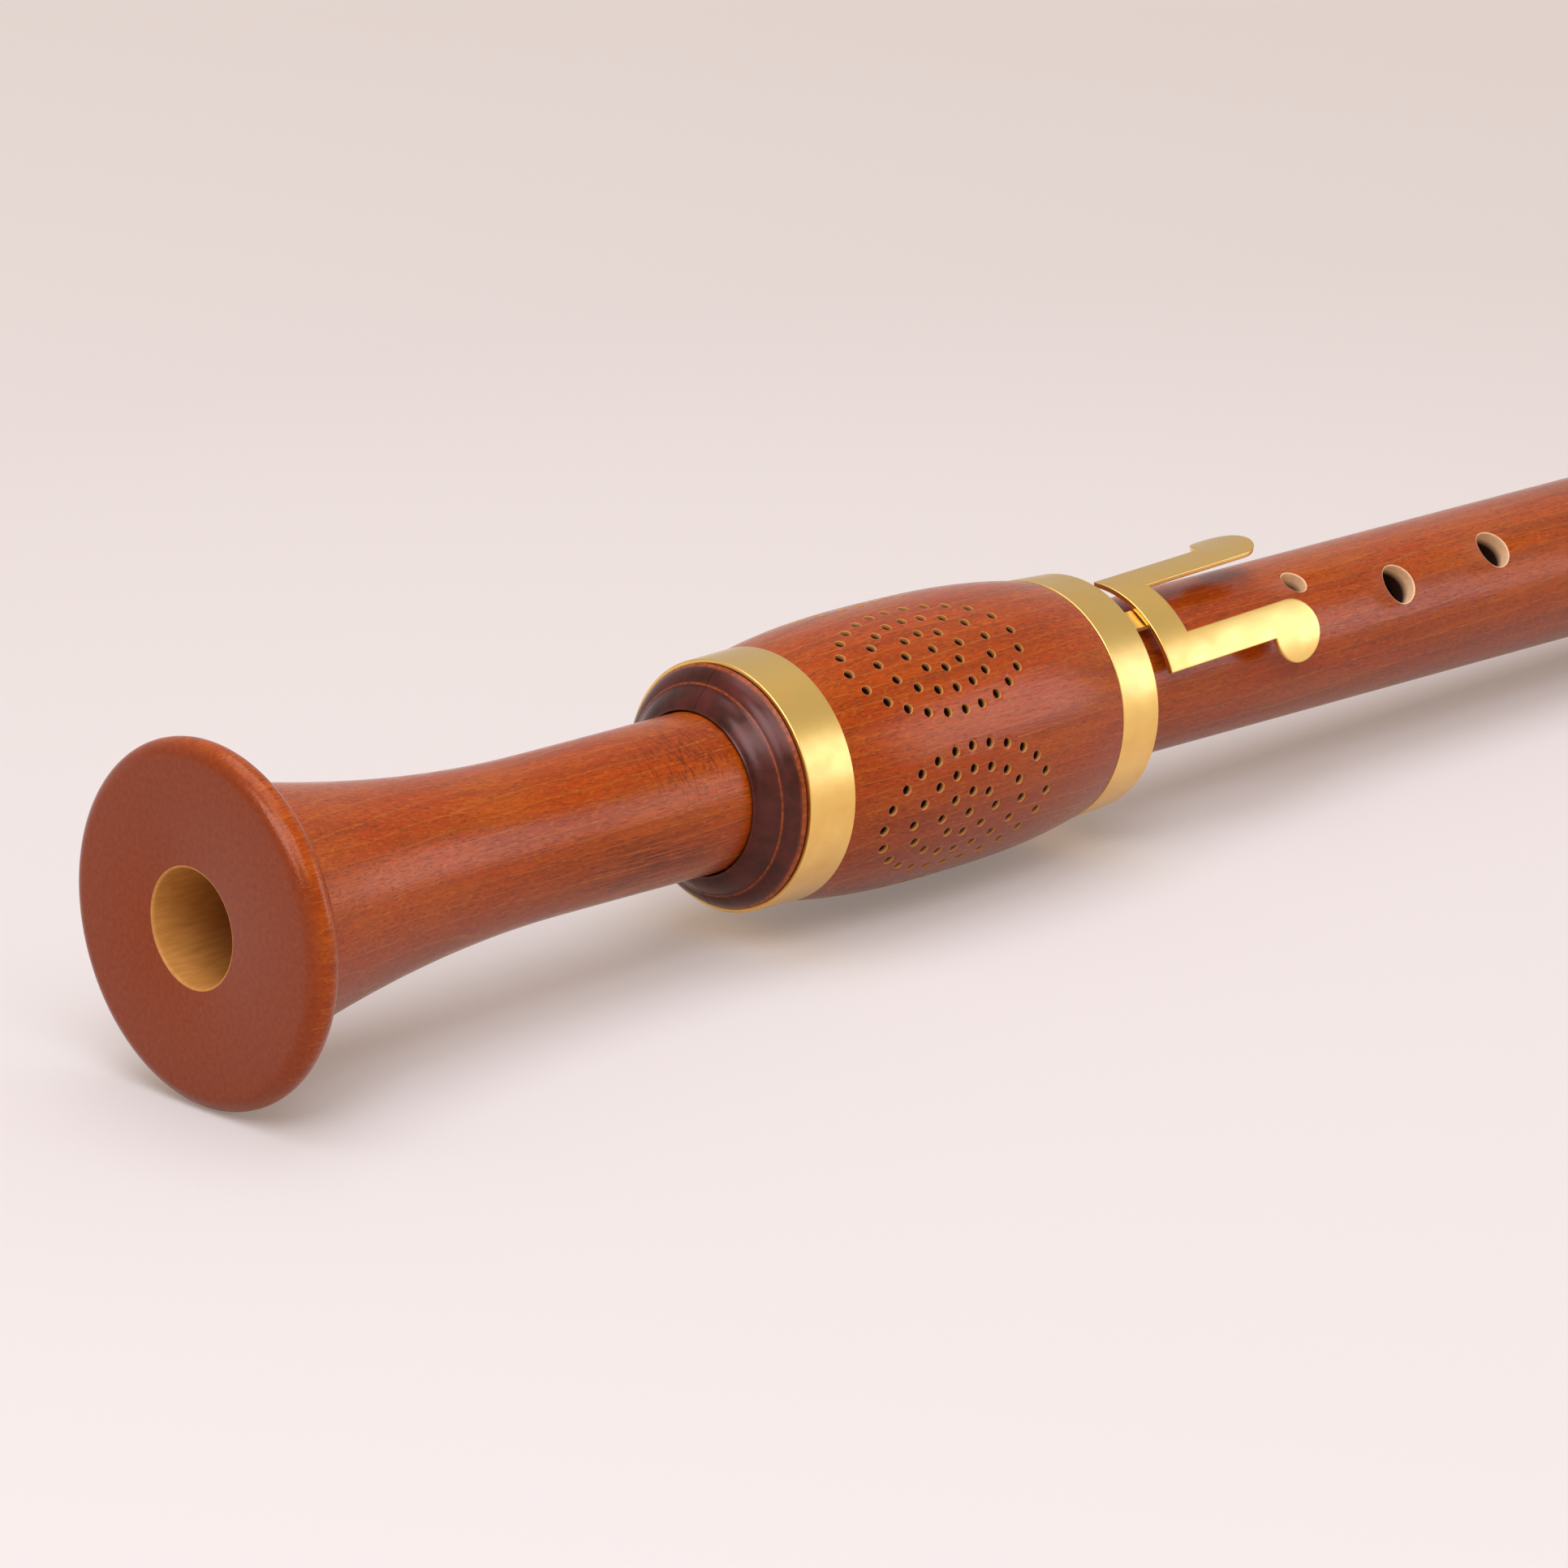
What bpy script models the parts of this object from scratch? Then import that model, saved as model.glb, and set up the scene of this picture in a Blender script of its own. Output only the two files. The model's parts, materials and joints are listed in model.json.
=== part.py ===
"""Renaissance basset recorder on a table: bell foot, fontanelle over the little finger's key, and beaked head.

Every piece is built along a bore axis X, with the foot face at X = 0 and the beak at the far end. Angles round
the bore are counted from straight up towards -Y. The whole instrument is then tilted until its bell and its head
both rest on Z = 0, and its box is centred on X and Y.
"""

import math

import bmesh
import bpy
from mathutils import Matrix, Vector

MM = 0.001

# How round the pieces are, the gaps between them, and how far a cutter reaches past what it cuts
STEPS = 32
DISC_SIDES = 28
DRILL_SIDES = 14
PIN_SIDES = 10
SEAT_GAP = 0.30 * MM
SLIDE_GAP = 0.25 * MM
PIN_GAP = 0.06 * MM
JOINED_STEP = 0.05 * MM
CUT_BEYOND = 5.0 * MM

# Places round the bore, in degrees
HOLE_LINE_ANGLE = 50.0
KEY_LINE_ANGLE = 35.0
ROSETTE_ANGLE = 35.0
COLLAR_SPLIT_ANGLE = 0.6

# Bell foot and tube, outside
BELL_RADIUS = 37.0 * MM
BELL_RIM_ROUND = 3.6 * MM
BELL_FLANGE_DEPTH = 7.1 * MM
BELL_FLARE_POWER = 1.9
FLARE_ROWS = 8
STEM_WAIST_RADIUS = 17.0 * MM
STEM_WAIST_STATION = 88.0 * MM
TUBE_SWELL_START = 150.0 * MM
TUBE_RADIUS_AT_KEY = 17.6 * MM
TUBE_WALL_AT_TOP = 7.6 * MM
BODY_SHOULDER = 700.0 * MM
SHOULDER_EDGE = 0.6 * MM
TENON_LENGTH = 28.0 * MM
TENON_WALL = 4.3 * MM
TENON_EDGE = 0.6 * MM

# Bore: it narrows from the foot to a choke, then widens as a cone, then runs straight
BORE_FOOT_RADIUS = 11.9 * MM
BORE_CHOKE_RADIUS = 10.6 * MM
BORE_CHOKE_STATION = 205.0 * MM
BORE_TOP_RADIUS = 13.2 * MM
BORE_CONE_END = 560.0 * MM

# Finger holes: number on the instrument, station, hole radius and turn away from the line of holes in degrees
FINGER_HOLES = (
    (1, 534.0 * MM, 4.4 * MM, 0.0),
    (2, 492.0 * MM, 4.8 * MM, 0.0),
    (3, 452.0 * MM, 4.3 * MM, 0.0),
    (4, 393.7 * MM, 5.1 * MM, -3.0),
    (5, 355.4 * MM, 5.2 * MM, 4.0),
    (6, 322.6 * MM, 3.5 * MM, -19.0),
)
THUMB_HOLE_STATION = 546.0 * MM
THUMB_HOLE_RADIUS = 4.0 * MM
DRILL_START_RADIUS = 3.0 * MM

# Key hole under the fontanelle, with its raised brass seat
KEY_HOLE_STATION = 183.0 * MM
KEY_HOLE_RADIUS = 4.2 * MM
SEAT_WALL = 1.8 * MM
SEAT_STANDS_PROUD = 0.35 * MM
SEAT_DEPTH = 3.2 * MM

# Flap: the second lever, which carries the pad on the foot side of its axle
FLAP_LENGTH = 20.0 * MM
FLAP_REACH = 12.8 * MM
FLAP_CONTACT_INSET = 1.0 * MM
FLAP_ARM_WIDTH = 5.0 * MM
FLAP_ARM_RISE = 1.0 * MM
FLAP_AXLE_RISE = 1.07 * MM
FLAP_DISC_OVERHANG = 0.5 * MM
KNUCKLE_RADIUS = 1.6 * MM
PAD_OVERHANG = 0.3 * MM
PAD_THICKNESS = 1.4 * MM
PAD_CLOSED_GAP = 0.12 * MM
PAD_GLUE_GAP = 0.20 * MM
SHEET = 1.3 * MM
AXLE_RADIUS = 0.9 * MM
SPRING_THICKNESS = 0.4 * MM
SPRING_WIDTH = 3.0 * MM
SPRING_LENGTH = 9.0 * MM
SPRING_DROP = 0.5 * MM

# Saddle that carries the flap's axle, and its screws
SADDLE_LENGTH = 14.0 * MM
SADDLE_HALF_WIDTH = 8.6 * MM
SADDLE_BASE = 0.8 * MM
SADDLE_EAR = 1.2 * MM
SADDLE_EAR_LENGTH = 5.0 * MM
SADDLE_SCREW_MARGIN = 1.9 * MM
SADDLE_AXLE_PROUD = 0.4 * MM
SCREW_RADIUS = 0.9 * MM
SCREW_HEAD_RADIUS = 1.6 * MM
SCREW_HEAD_HEIGHT = 0.7 * MM
SCREW_LENGTH = 4.0 * MM

# Turned band on the tube that centres the fontanelle and carries the touch's axle
BAND_HEIGHT = 5.5 * MM
BAND_WIDTH = 7.0 * MM
TOUCH_AXLE_DEPTH = 3.1 * MM
AXLE_END_INSET = 1.0 * MM

# Touch: a butterfly of bent sheet on a straight lever
TOUCH_UNDER_BAND = 2.4 * MM
TOUCH_FROM_AXLE = 14.6 * MM
TOUCH_BEND_RADIUS = 23.35 * MM
TOUCH_RISE_ANGLE = 4.3
TOUCH_BAR_WIDTH = 9.1 * MM
TOUCH_HALF_WIDTH = 15.2 * MM
TOUCH_STRIPS = 20
LOBE_FROM_EDGE = 42.3 * MM
LOBE_RADIUS = 7.4 * MM
LOBE_OFFSET = 14.8 * MM
LEVER_WIDTH = 5.0 * MM
LEVER_THICKNESS = 1.5 * MM
LEVER_TAIL_REACH = 35.0 * MM
LEVER_TAIL_OVERLAP = 1.8 * MM
LEVER_TAIL_BEND = 12.0 * MM
LEVER_HEAD_BEND = 6.0 * MM
LEVER_CLEARANCE = 0.35 * MM
LEVER_SLOT_FLOOR = 0.05 * MM
EYE_RADIUS = 2.0 * MM
TOUCH_TRAVEL_ANGLE = 1.8

# Collar, a wooden ring in two halves that closes the fontanelle round the stem
COLLAR_FOOT_STATION = 135.3 * MM
COLLAR_LENGTH = 7.5 * MM
COLLAR_CONE_LENGTH = 2.9 * MM
COLLAR_CONE_CURVE = 0.6 * MM
COLLAR_BEAD_WIDTH = 3.4 * MM
COLLAR_BEAD_ROUND = 4.6 * MM
COLLAR_BEAD_UNDER_RING = 0.7 * MM
COLLAR_EDGE = 0.2 * MM
COLLAR_STEM_GAP = 0.8 * MM
COLLAR_SPIGOT_LENGTH = 7.7 * MM

# Fontanelle barrel with its two brass rings
BARREL_PAST_BAND = 1.8 * MM
BARREL_BULGE = 3.2 * MM
BARREL_BULGE_POWER = 2.6
BARREL_ROWS = 7
BARREL_BORE_STEP = 1.2 * MM
BARREL_HOLLOW_DEPTH = 1.2 * MM
BARREL_LIP_WALL = 1.25 * MM
BARREL_LIP_LENGTH = 17.0 * MM
BARREL_SLOPE_LENGTH = 7.0 * MM
RING_STANDS_PROUD = 0.3 * MM
RING_THICKNESS = 0.85 * MM
LOWER_RING_WIDTH = 13.0 * MM
UPPER_RING_WIDTH = 12.4 * MM

# Rosettes of drilled holes: ovals of 8, 16 and 24 holes round a middle one
ROSETTE_COUNT = 5
ROSETTE_FOOTWARD = 8.7 * MM
ROSETTE_LONG_STEP = 8.3 * MM
ROSETTE_SHORT_STEP = 5.07 * MM
ROSETTE_OVALS = (8, 16, 24)
ROSETTE_HOLE_RADIUS = 1.05 * MM
ROSETTE_HOLE_SIDES = 5

# Head joint
HEAD_LENGTH = 250.0 * MM
HEAD_BORE_STEP = 0.3 * MM
HEAD_WALL = 8.1 * MM
HEAD_WAIST_DEPTH = 0.4 * MM
HEAD_EDGE_ROUND = 2.5 * MM
SOCKET_WALL = 4.0 * MM
SOCKET_PAST_TENON = 2.0 * MM
SOCKET_RING_WIDTH = 10.0 * MM
SOCKET_SWELL_LENGTH = 42.0 * MM
CORK_THICKNESS = 0.9 * MM
CORK_LENGTH = 20.0 * MM
WINDOW_FROM_SHOULDER = 170.0 * MM
WINDOW_LENGTH = 6.0 * MM
WINDOW_HALF_WIDTH = 6.8 * MM
WINDWAY_HEIGHT = 1.3 * MM
LABIUM_LENGTH = 32.0 * MM
LABIUM_EDGE = 0.5 * MM
BEAK_CUT_RADIUS = 75.0 * MM
BEAK_CUT_LENGTH = 44.0 * MM
BEAK_CUT_SIDES = 64
BEAK_TIP_THICKNESS = 15.0 * MM


def stem_radius(station):
    """The trumpet flare from the bell down to the waist, then a gentle swell, then the long straight taper."""
    if station < STEM_WAIST_STATION:
        share = 1.0 - station / STEM_WAIST_STATION
        return STEM_WAIST_RADIUS + (BELL_THROAT_RADIUS - STEM_WAIST_RADIUS) * share ** BELL_FLARE_POWER
    if station < TUBE_SWELL_START:
        share = (station - STEM_WAIST_STATION) / (TUBE_SWELL_START - STEM_WAIST_STATION)
        return STEM_WAIST_RADIUS + (TUBE_RADIUS_AT_KEY - STEM_WAIST_RADIUS) * share ** 1.5
    share = (station - TUBE_SWELL_START) / (BODY_SHOULDER - TUBE_SWELL_START)
    return TUBE_RADIUS_AT_KEY + (TUBE_RADIUS_AT_TOP - TUBE_RADIUS_AT_KEY) * share


def bore_radius(station):
    if station < BORE_CHOKE_STATION:
        share = 1.0 - station / BORE_CHOKE_STATION
        return BORE_CHOKE_RADIUS + (BORE_FOOT_RADIUS - BORE_CHOKE_RADIUS) * share ** 1.5
    share = min((station - BORE_CHOKE_STATION) / (BORE_CONE_END - BORE_CHOKE_STATION), 1.0)
    return BORE_CHOKE_RADIUS + (BORE_TOP_RADIUS - BORE_CHOKE_RADIUS) * share


def barrel_radius(station):
    """The belly of the fontanelle between its rings."""
    low = BARREL_START + LOWER_RING_WIDTH
    high = BARREL_END - UPPER_RING_WIDTH
    share = min(max((station - low) / (high - low), 0.0), 1.0)
    return RING_RADIUS - RING_STANDS_PROUD + BARREL_BULGE * (1.0 - abs(2.0 * share - 1.0) ** BARREL_BULGE_POWER)


# Bell, tube and tenon, from the sizes above
BELL_THROAT_RADIUS = BELL_RADIUS - BELL_FLANGE_DEPTH
TUBE_RADIUS_AT_TOP = BORE_TOP_RADIUS + TUBE_WALL_AT_TOP
BODY_LENGTH = BODY_SHOULDER + TENON_LENGTH
TENON_RADIUS = BORE_TOP_RADIUS + TENON_WALL

# Stations along the key, from the key hole to the touch
FLAP_AXLE_STATION = KEY_HOLE_STATION + FLAP_LENGTH
LEVER_TAIL_STATION = FLAP_AXLE_STATION + FLAP_REACH - LEVER_TAIL_OVERLAP
BAND_STATION = LEVER_TAIL_STATION + LEVER_TAIL_REACH
TOUCH_FOOT_EDGE = BAND_STATION + TOUCH_FROM_AXLE

# Heights of the key above the bore axis
SEAT_RADIUS = KEY_HOLE_RADIUS + SEAT_WALL
PAD_RADIUS = SEAT_RADIUS + PAD_OVERHANG
FLAP_DISC_RADIUS = PAD_RADIUS + FLAP_DISC_OVERHANG
SEAT_TOP = stem_radius(KEY_HOLE_STATION) + SEAT_STANDS_PROUD
FLAP_BOTTOM = SEAT_TOP + PAD_CLOSED_GAP + PAD_THICKNESS + PAD_GLUE_GAP
FLAP_AXLE_HEIGHT = FLAP_BOTTOM + FLAP_AXLE_RISE
BAND_RADIUS = stem_radius(BAND_STATION) + BAND_HEIGHT
TOUCH_AXLE_HEIGHT = BAND_RADIUS - TOUCH_AXLE_DEPTH
TOUCH_AXLE_HALF = math.sqrt(BAND_RADIUS ** 2 - TOUCH_AXLE_HEIGHT ** 2) - AXLE_END_INSET
TOUCH_INNER_RADIUS = BAND_RADIUS - TOUCH_UNDER_BAND
TAIL_TOP = stem_radius(BAND_STATION) + LEVER_CLEARANCE + LEVER_THICKNESS
FLAP_RATIO = LEVER_TAIL_REACH / (FLAP_REACH - FLAP_CONTACT_INSET)
FLAP_TRAVEL_ANGLE = TOUCH_TRAVEL_ANGLE * FLAP_RATIO
FLAP_TIP_BOTTOM = TAIL_TOP + SLIDE_GAP + FLAP_REACH * math.sin(math.radians(FLAP_TRAVEL_ANGLE))
SADDLE_INSIDE = stem_radius(FLAP_AXLE_STATION + SADDLE_LENGTH / 2) / math.cos(math.pi / STEPS) + SLIDE_GAP / 2
SADDLE_OUTSIDE = SADDLE_INSIDE + SADDLE_BASE

# Fontanelle round the key: it slides over the band and the flap
BARREL_UPPER_BORE = BAND_RADIUS + SEAT_GAP
BARREL_LOWER_BORE = BARREL_UPPER_BORE + BARREL_BORE_STEP
BARREL_HOLLOW_RADIUS = BARREL_LOWER_BORE + BARREL_HOLLOW_DEPTH
RING_SEAT_RADIUS = BARREL_LOWER_BORE + BARREL_LIP_WALL
RING_RADIUS = RING_SEAT_RADIUS + SEAT_GAP + RING_THICKNESS
BARREL_START = COLLAR_FOOT_STATION + COLLAR_LENGTH + SEAT_GAP
BARREL_END = BAND_STATION + BAND_WIDTH / 2 + BARREL_PAST_BAND
ROSETTE_STATION = (BARREL_START + BARREL_END) / 2 - ROSETTE_FOOTWARD

# Head, which fits the corked tenon
HEAD_START = BODY_SHOULDER + SEAT_GAP
HEAD_END = HEAD_START + HEAD_LENGTH
HEAD_BORE_RADIUS = BORE_TOP_RADIUS + HEAD_BORE_STEP
HEAD_TOP_RADIUS = HEAD_BORE_RADIUS + HEAD_WALL
HEAD_WAIST_RADIUS = HEAD_TOP_RADIUS - HEAD_WAIST_DEPTH
CORK_INSIDE = TENON_RADIUS + SLIDE_GAP
CORK_OUTSIDE = CORK_INSIDE + CORK_THICKNESS
SOCKET_BORE = CORK_OUTSIDE + SLIDE_GAP
SOCKET_RADIUS = SOCKET_BORE + SOCKET_WALL
WINDOW_STATION = BODY_SHOULDER + WINDOW_FROM_SHOULDER
BLOCK_START = WINDOW_STATION + WINDOW_LENGTH
BLOCK_RADIUS = HEAD_BORE_RADIUS - SLIDE_GAP


def reset():
    for old in list(bpy.data.objects):
        bpy.data.objects.remove(old, do_unlink=True)


def new_collection(name):
    group = bpy.data.collections.new(name)
    bpy.context.scene.collection.children.link(group)
    return group


def new_empty(name, parent, location=(0, 0, 0), rotation=(0, 0, 0)):
    empty = bpy.data.objects.new(name, None)
    empty.empty_display_size = 0.02
    empty.parent = parent
    empty.location = location
    empty.rotation_euler = rotation
    PIECES.objects.link(empty)
    return empty


def new_material(name, colour, roughness, metallic=0.0):
    material = bpy.data.materials.new(name)
    material.use_nodes = True
    shader = material.node_tree.nodes["Principled BSDF"]
    shader.inputs["Base Color"].default_value = (*colour, 1.0)
    shader.inputs["Roughness"].default_value = roughness
    shader.inputs["Metallic"].default_value = metallic
    return material


def place(obj, parent, material=None):
    """Puts a finished object among the pieces, or among the cutters when it has no material."""
    obj.parent = parent
    if material is None:
        CUTTERS.objects.link(obj)
        obj.hide_render = True
        obj.display_type = "WIRE"
        return obj
    PIECES.objects.link(obj)
    obj.data.materials.append(material)
    obj.data.shade_smooth()
    obj.data.set_sharp_from_angle(angle=math.radians(35))
    return obj


def mesh_object(name, bm):
    bmesh.ops.recalc_face_normals(bm, faces=bm.faces)
    mesh = bpy.data.meshes.new(name)
    bm.to_mesh(mesh)
    bm.free()
    return bpy.data.objects.new(name, mesh)


def turned(name, profile, parent, material=None):
    """A closed profile of (station, radius) points, outside from head to foot first, turned about the bore axis.

    The flats of the turning lie on the true radius, and one faces straight down, so the piece doesn't roll.
    """
    half_step = math.pi / STEPS
    reach = 1.0 / math.cos(half_step)
    bm = bmesh.new()
    points = []
    for station, radius in profile:
        across = radius * reach
        points.append(bm.verts.new((across * math.cos(half_step), across * math.sin(half_step), station)))
    for first, second in zip(points, points[1:] + points[:1]):
        bm.edges.new((first, second))
    mesh = bpy.data.meshes.new(name)
    bm.to_mesh(mesh)
    bm.free()
    obj = bpy.data.objects.new(name, mesh)
    screw = obj.modifiers.new("turning", "SCREW")
    screw.axis = "Z"
    screw.steps = STEPS
    screw.render_steps = STEPS
    screw.use_merge_vertices = True
    screw.merge_threshold = 0.000001
    obj.rotation_euler = (0.0, math.pi / 2, 0.0)
    return place(obj, parent, material)


def rod(name, radius, start, end, sides, parent, material=None):
    """A round bar or drill between two points."""
    start, end = Vector(start), Vector(end)
    bm = bmesh.new()
    bmesh.ops.create_cone(bm, cap_ends=True, segments=sides, radius1=radius, radius2=radius,
                          depth=(end - start).length)
    turn = (end - start).to_track_quat("Z", "X").to_matrix().to_4x4()
    bmesh.ops.transform(bm, matrix=Matrix.Translation((start + end) / 2) @ turn, verts=bm.verts)
    return place(mesh_object(name, bm), parent, material)


def box(name, low, high, parent, material=None):
    low, high = Vector(low), Vector(high)
    bm = bmesh.new()
    bmesh.ops.create_cube(bm, size=1.0)
    bmesh.ops.scale(bm, vec=high - low, verts=bm.verts)
    bmesh.ops.translate(bm, vec=(low + high) / 2, verts=bm.verts)
    return place(mesh_object(name, bm), parent, material)


def flat_mesh(outline, half_thickness):
    """A flat outline of (x, y) points thickened both ways along Z, as a closed bmesh."""
    curve = bpy.data.curves.new("outline", "CURVE")
    curve.dimensions = "2D"
    curve.fill_mode = "BOTH"
    curve.extrude = half_thickness
    spline = curve.splines.new("POLY")
    spline.points.add(len(outline) - 1)
    for point, (x, y) in zip(spline.points, outline):
        point.co = (x, y, 0.0, 1.0)
    spline.use_cyclic_u = True
    holder = bpy.data.objects.new("outline", curve)
    bpy.context.scene.collection.objects.link(holder)
    mesh = bpy.data.meshes.new_from_object(holder.evaluated_get(bpy.context.evaluated_depsgraph_get()))
    bm = bmesh.new()
    bm.from_mesh(mesh)
    bmesh.ops.remove_doubles(bm, verts=bm.verts, dist=0.000001)
    bpy.data.objects.remove(holder, do_unlink=True)
    bpy.data.curves.remove(curve)
    bpy.data.meshes.remove(mesh)
    return bm


def side_plate(name, outline, width, parent, material=None):
    """An outline of (station, height) points, seen from the side and thickened across the bore."""
    bm = flat_mesh(outline, width / 2)
    bmesh.ops.rotate(bm, matrix=Matrix.Rotation(math.pi / 2, 3, "X"), verts=bm.verts)
    return place(mesh_object(name, bm), parent, material)


def along_bore(bm, middle):
    """Turns a flat outline of (across, height) points to face along the bore, about a middle station."""
    turn = Matrix(((0, 0, 1), (1, 0, 0), (0, 1, 0))).to_4x4()
    bmesh.ops.transform(bm, matrix=Matrix.Translation((middle, 0, 0)) @ turn, verts=bm.verts)
    return bm


def cut(target, cutter, operation="DIFFERENCE"):
    boolean = target.modifiers.new(cutter.name, "BOOLEAN")
    boolean.operation = operation
    boolean.solver = "EXACT"
    boolean.object = cutter


def arc(centre, radius, start, end, count):
    """Points on a round stretch from one angle to another, both included, in degrees."""
    points = []
    for index in range(count + 1):
        angle = math.radians(start + (end - start) * index / count)
        points.append((centre[0] + radius * math.cos(angle), centre[1] + radius * math.sin(angle)))
    return points


def swelling_arc(start, end, radius, count):
    """Points on an arc from start to end, both included, that swells away from the bore on its way footward."""
    half = (end - start) / 2
    inward = Vector((-half.y, half.x)).normalized()
    centre = start + half + inward * math.sqrt(radius ** 2 - half.length_squared)
    first, last = (math.degrees(math.atan2(point.y - centre.y, point.x - centre.x)) for point in (start, end))
    return arc(centre, radius, first, last, count)


def body_joint(hole_line, key_line):
    """The long middle and foot, turned from one length of wood, with its bore and holes."""
    band_low = BAND_STATION - BAND_WIDTH / 2
    band_high = BAND_STATION + BAND_WIDTH / 2
    profile = [(BODY_LENGTH, TENON_RADIUS - TENON_EDGE), (BODY_LENGTH - TENON_EDGE, TENON_RADIUS)]
    profile += [(BODY_SHOULDER, TENON_RADIUS), (BODY_SHOULDER, TUBE_RADIUS_AT_TOP - SHOULDER_EDGE)]
    profile += [(BODY_SHOULDER - SHOULDER_EDGE, TUBE_RADIUS_AT_TOP)]
    profile += [(band_high, stem_radius(band_high)), (band_high, BAND_RADIUS)]
    profile += [(band_low, BAND_RADIUS), (band_low, stem_radius(band_low))]
    profile.append((TUBE_SWELL_START, TUBE_RADIUS_AT_KEY))
    flange_back = 2 * BELL_RIM_ROUND
    for index in range(FLARE_ROWS + 1):
        share = 1.0 - index / FLARE_ROWS
        station = flange_back + (COLLAR_FOOT_STATION - flange_back) * share ** 1.6
        profile.append((station, stem_radius(station)))
    profile += arc((BELL_RIM_ROUND, BELL_RADIUS - BELL_RIM_ROUND), BELL_RIM_ROUND, 0, 180, 6)
    for station in (0.0, BORE_CHOKE_STATION / 2, BORE_CHOKE_STATION, BORE_CONE_END, BODY_LENGTH):
        profile.append((station, bore_radius(station)))
    body = turned("body_joint", profile, ROOT, WOOD)

    drill_end = TUBE_RADIUS_AT_TOP + CUT_BEYOND
    for number, station, radius, turn in FINGER_HOLES:
        angle = math.radians(turn)
        away = Vector((0.0, -math.sin(angle), math.cos(angle)))
        along = Vector((station, 0.0, 0.0))
        cut(body, rod(f"finger_hole_{number}_drill", radius, along + away * DRILL_START_RADIUS,
                      along + away * drill_end, DRILL_SIDES, hole_line))
    cut(body, rod("thumb_hole_drill", THUMB_HOLE_RADIUS, (THUMB_HOLE_STATION, 0, -DRILL_START_RADIUS),
                  (THUMB_HOLE_STATION, 0, -drill_end), DRILL_SIDES, hole_line))
    cut(body, rod("key_hole_drill", KEY_HOLE_RADIUS, (KEY_HOLE_STATION, 0, DRILL_START_RADIUS),
                  (KEY_HOLE_STATION, 0, BAND_RADIUS), DRILL_SIDES, key_line))
    cut(body, rod("seat_pocket_drill", SEAT_RADIUS + SEAT_GAP,
                  (KEY_HOLE_STATION, 0, SEAT_TOP - SEAT_DEPTH - SEAT_GAP),
                  (KEY_HOLE_STATION, 0, BAND_RADIUS), DISC_SIDES, key_line))
    slot_half = LEVER_WIDTH / 2 + LEVER_CLEARANCE
    cut(body, box("lever_slot_cutter",
                  (band_low - JOINED_STEP, -slot_half, stem_radius(BAND_STATION) + LEVER_SLOT_FLOOR),
                  (band_high + JOINED_STEP, slot_half, BAND_RADIUS + CUT_BEYOND), key_line))
    cut(body, rod("touch_axle_drill", AXLE_RADIUS + PIN_GAP,
                  (BAND_STATION, -TOUCH_AXLE_HALF - CUT_BEYOND, TOUCH_AXLE_HEIGHT),
                  (BAND_STATION, TOUCH_AXLE_HALF + CUT_BEYOND, TOUCH_AXLE_HEIGHT), PIN_SIDES, key_line))
    for name, side in SADDLE_SIDES:
        cut(body, rod(f"{name}_drill", SCREW_RADIUS + SLIDE_GAP,
                      saddle_screw_point(side, SADDLE_INSIDE - SCREW_LENGTH - SEAT_GAP),
                      saddle_screw_point(side, SADDLE_INSIDE + CUT_BEYOND), PIN_SIDES, key_line))


def saddle_screw_point(side, radius):
    """A point on the slanted line of a saddle screw, which points at the bore axis."""
    angle = side * (SADDLE_HALF_WIDTH - SADDLE_SCREW_MARGIN) / SADDLE_INSIDE
    return (FLAP_AXLE_STATION, radius * math.sin(angle), radius * math.cos(angle))


def collar_halves():
    """The two halves of the ring, a cone, a fine groove and a round bead, with a spigot inside the barrel."""
    inner = stem_radius(COLLAR_FOOT_STATION) + COLLAR_STEM_GAP
    shoulder = COLLAR_FOOT_STATION + COLLAR_LENGTH
    spigot_end = shoulder + COLLAR_SPIGOT_LENGTH
    spigot_radius = BARREL_LOWER_BORE - SLIDE_GAP
    bead_radius = RING_RADIUS - COLLAR_BEAD_UNDER_RING
    cone_top = COLLAR_FOOT_STATION + COLLAR_CONE_LENGTH
    cone_radius = bead_radius - COLLAR_BEAD_WIDTH
    cone_middle = ((COLLAR_FOOT_STATION + cone_top) / 2 - COLLAR_CONE_CURVE, (inner + cone_radius) / 2)
    profile = [(spigot_end, inner), (spigot_end, spigot_radius), (shoulder, spigot_radius)]
    profile.append((shoulder, bead_radius - COLLAR_EDGE))
    bead_top = Vector((shoulder - COLLAR_EDGE, bead_radius))
    bead_foot = Vector((cone_top + COLLAR_EDGE, cone_radius + COLLAR_EDGE))
    profile += swelling_arc(bead_top, bead_foot, COLLAR_BEAD_ROUND, 6)
    profile.append((cone_top, cone_radius - COLLAR_EDGE))
    profile += [cone_middle, (COLLAR_FOOT_STATION, inner + COLLAR_EDGE)]
    split_line = new_empty("collar_split_line", ROOT, rotation=(math.radians(COLLAR_SPLIT_ANGLE), 0, 0))
    reach = bead_radius + CUT_BEYOND
    for name, side in (("collar_half_front", 1), ("collar_half_back", -1)):
        half = turned(name, profile, ROOT, DARK_WOOD)
        edges = sorted((-side * SEAT_GAP / 2, side * reach))
        cut(half, box(name + "_cutter", (COLLAR_FOOT_STATION - CUT_BEYOND, edges[0], -reach),
                      (spigot_end + CUT_BEYOND, edges[1], reach), split_line))


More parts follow.
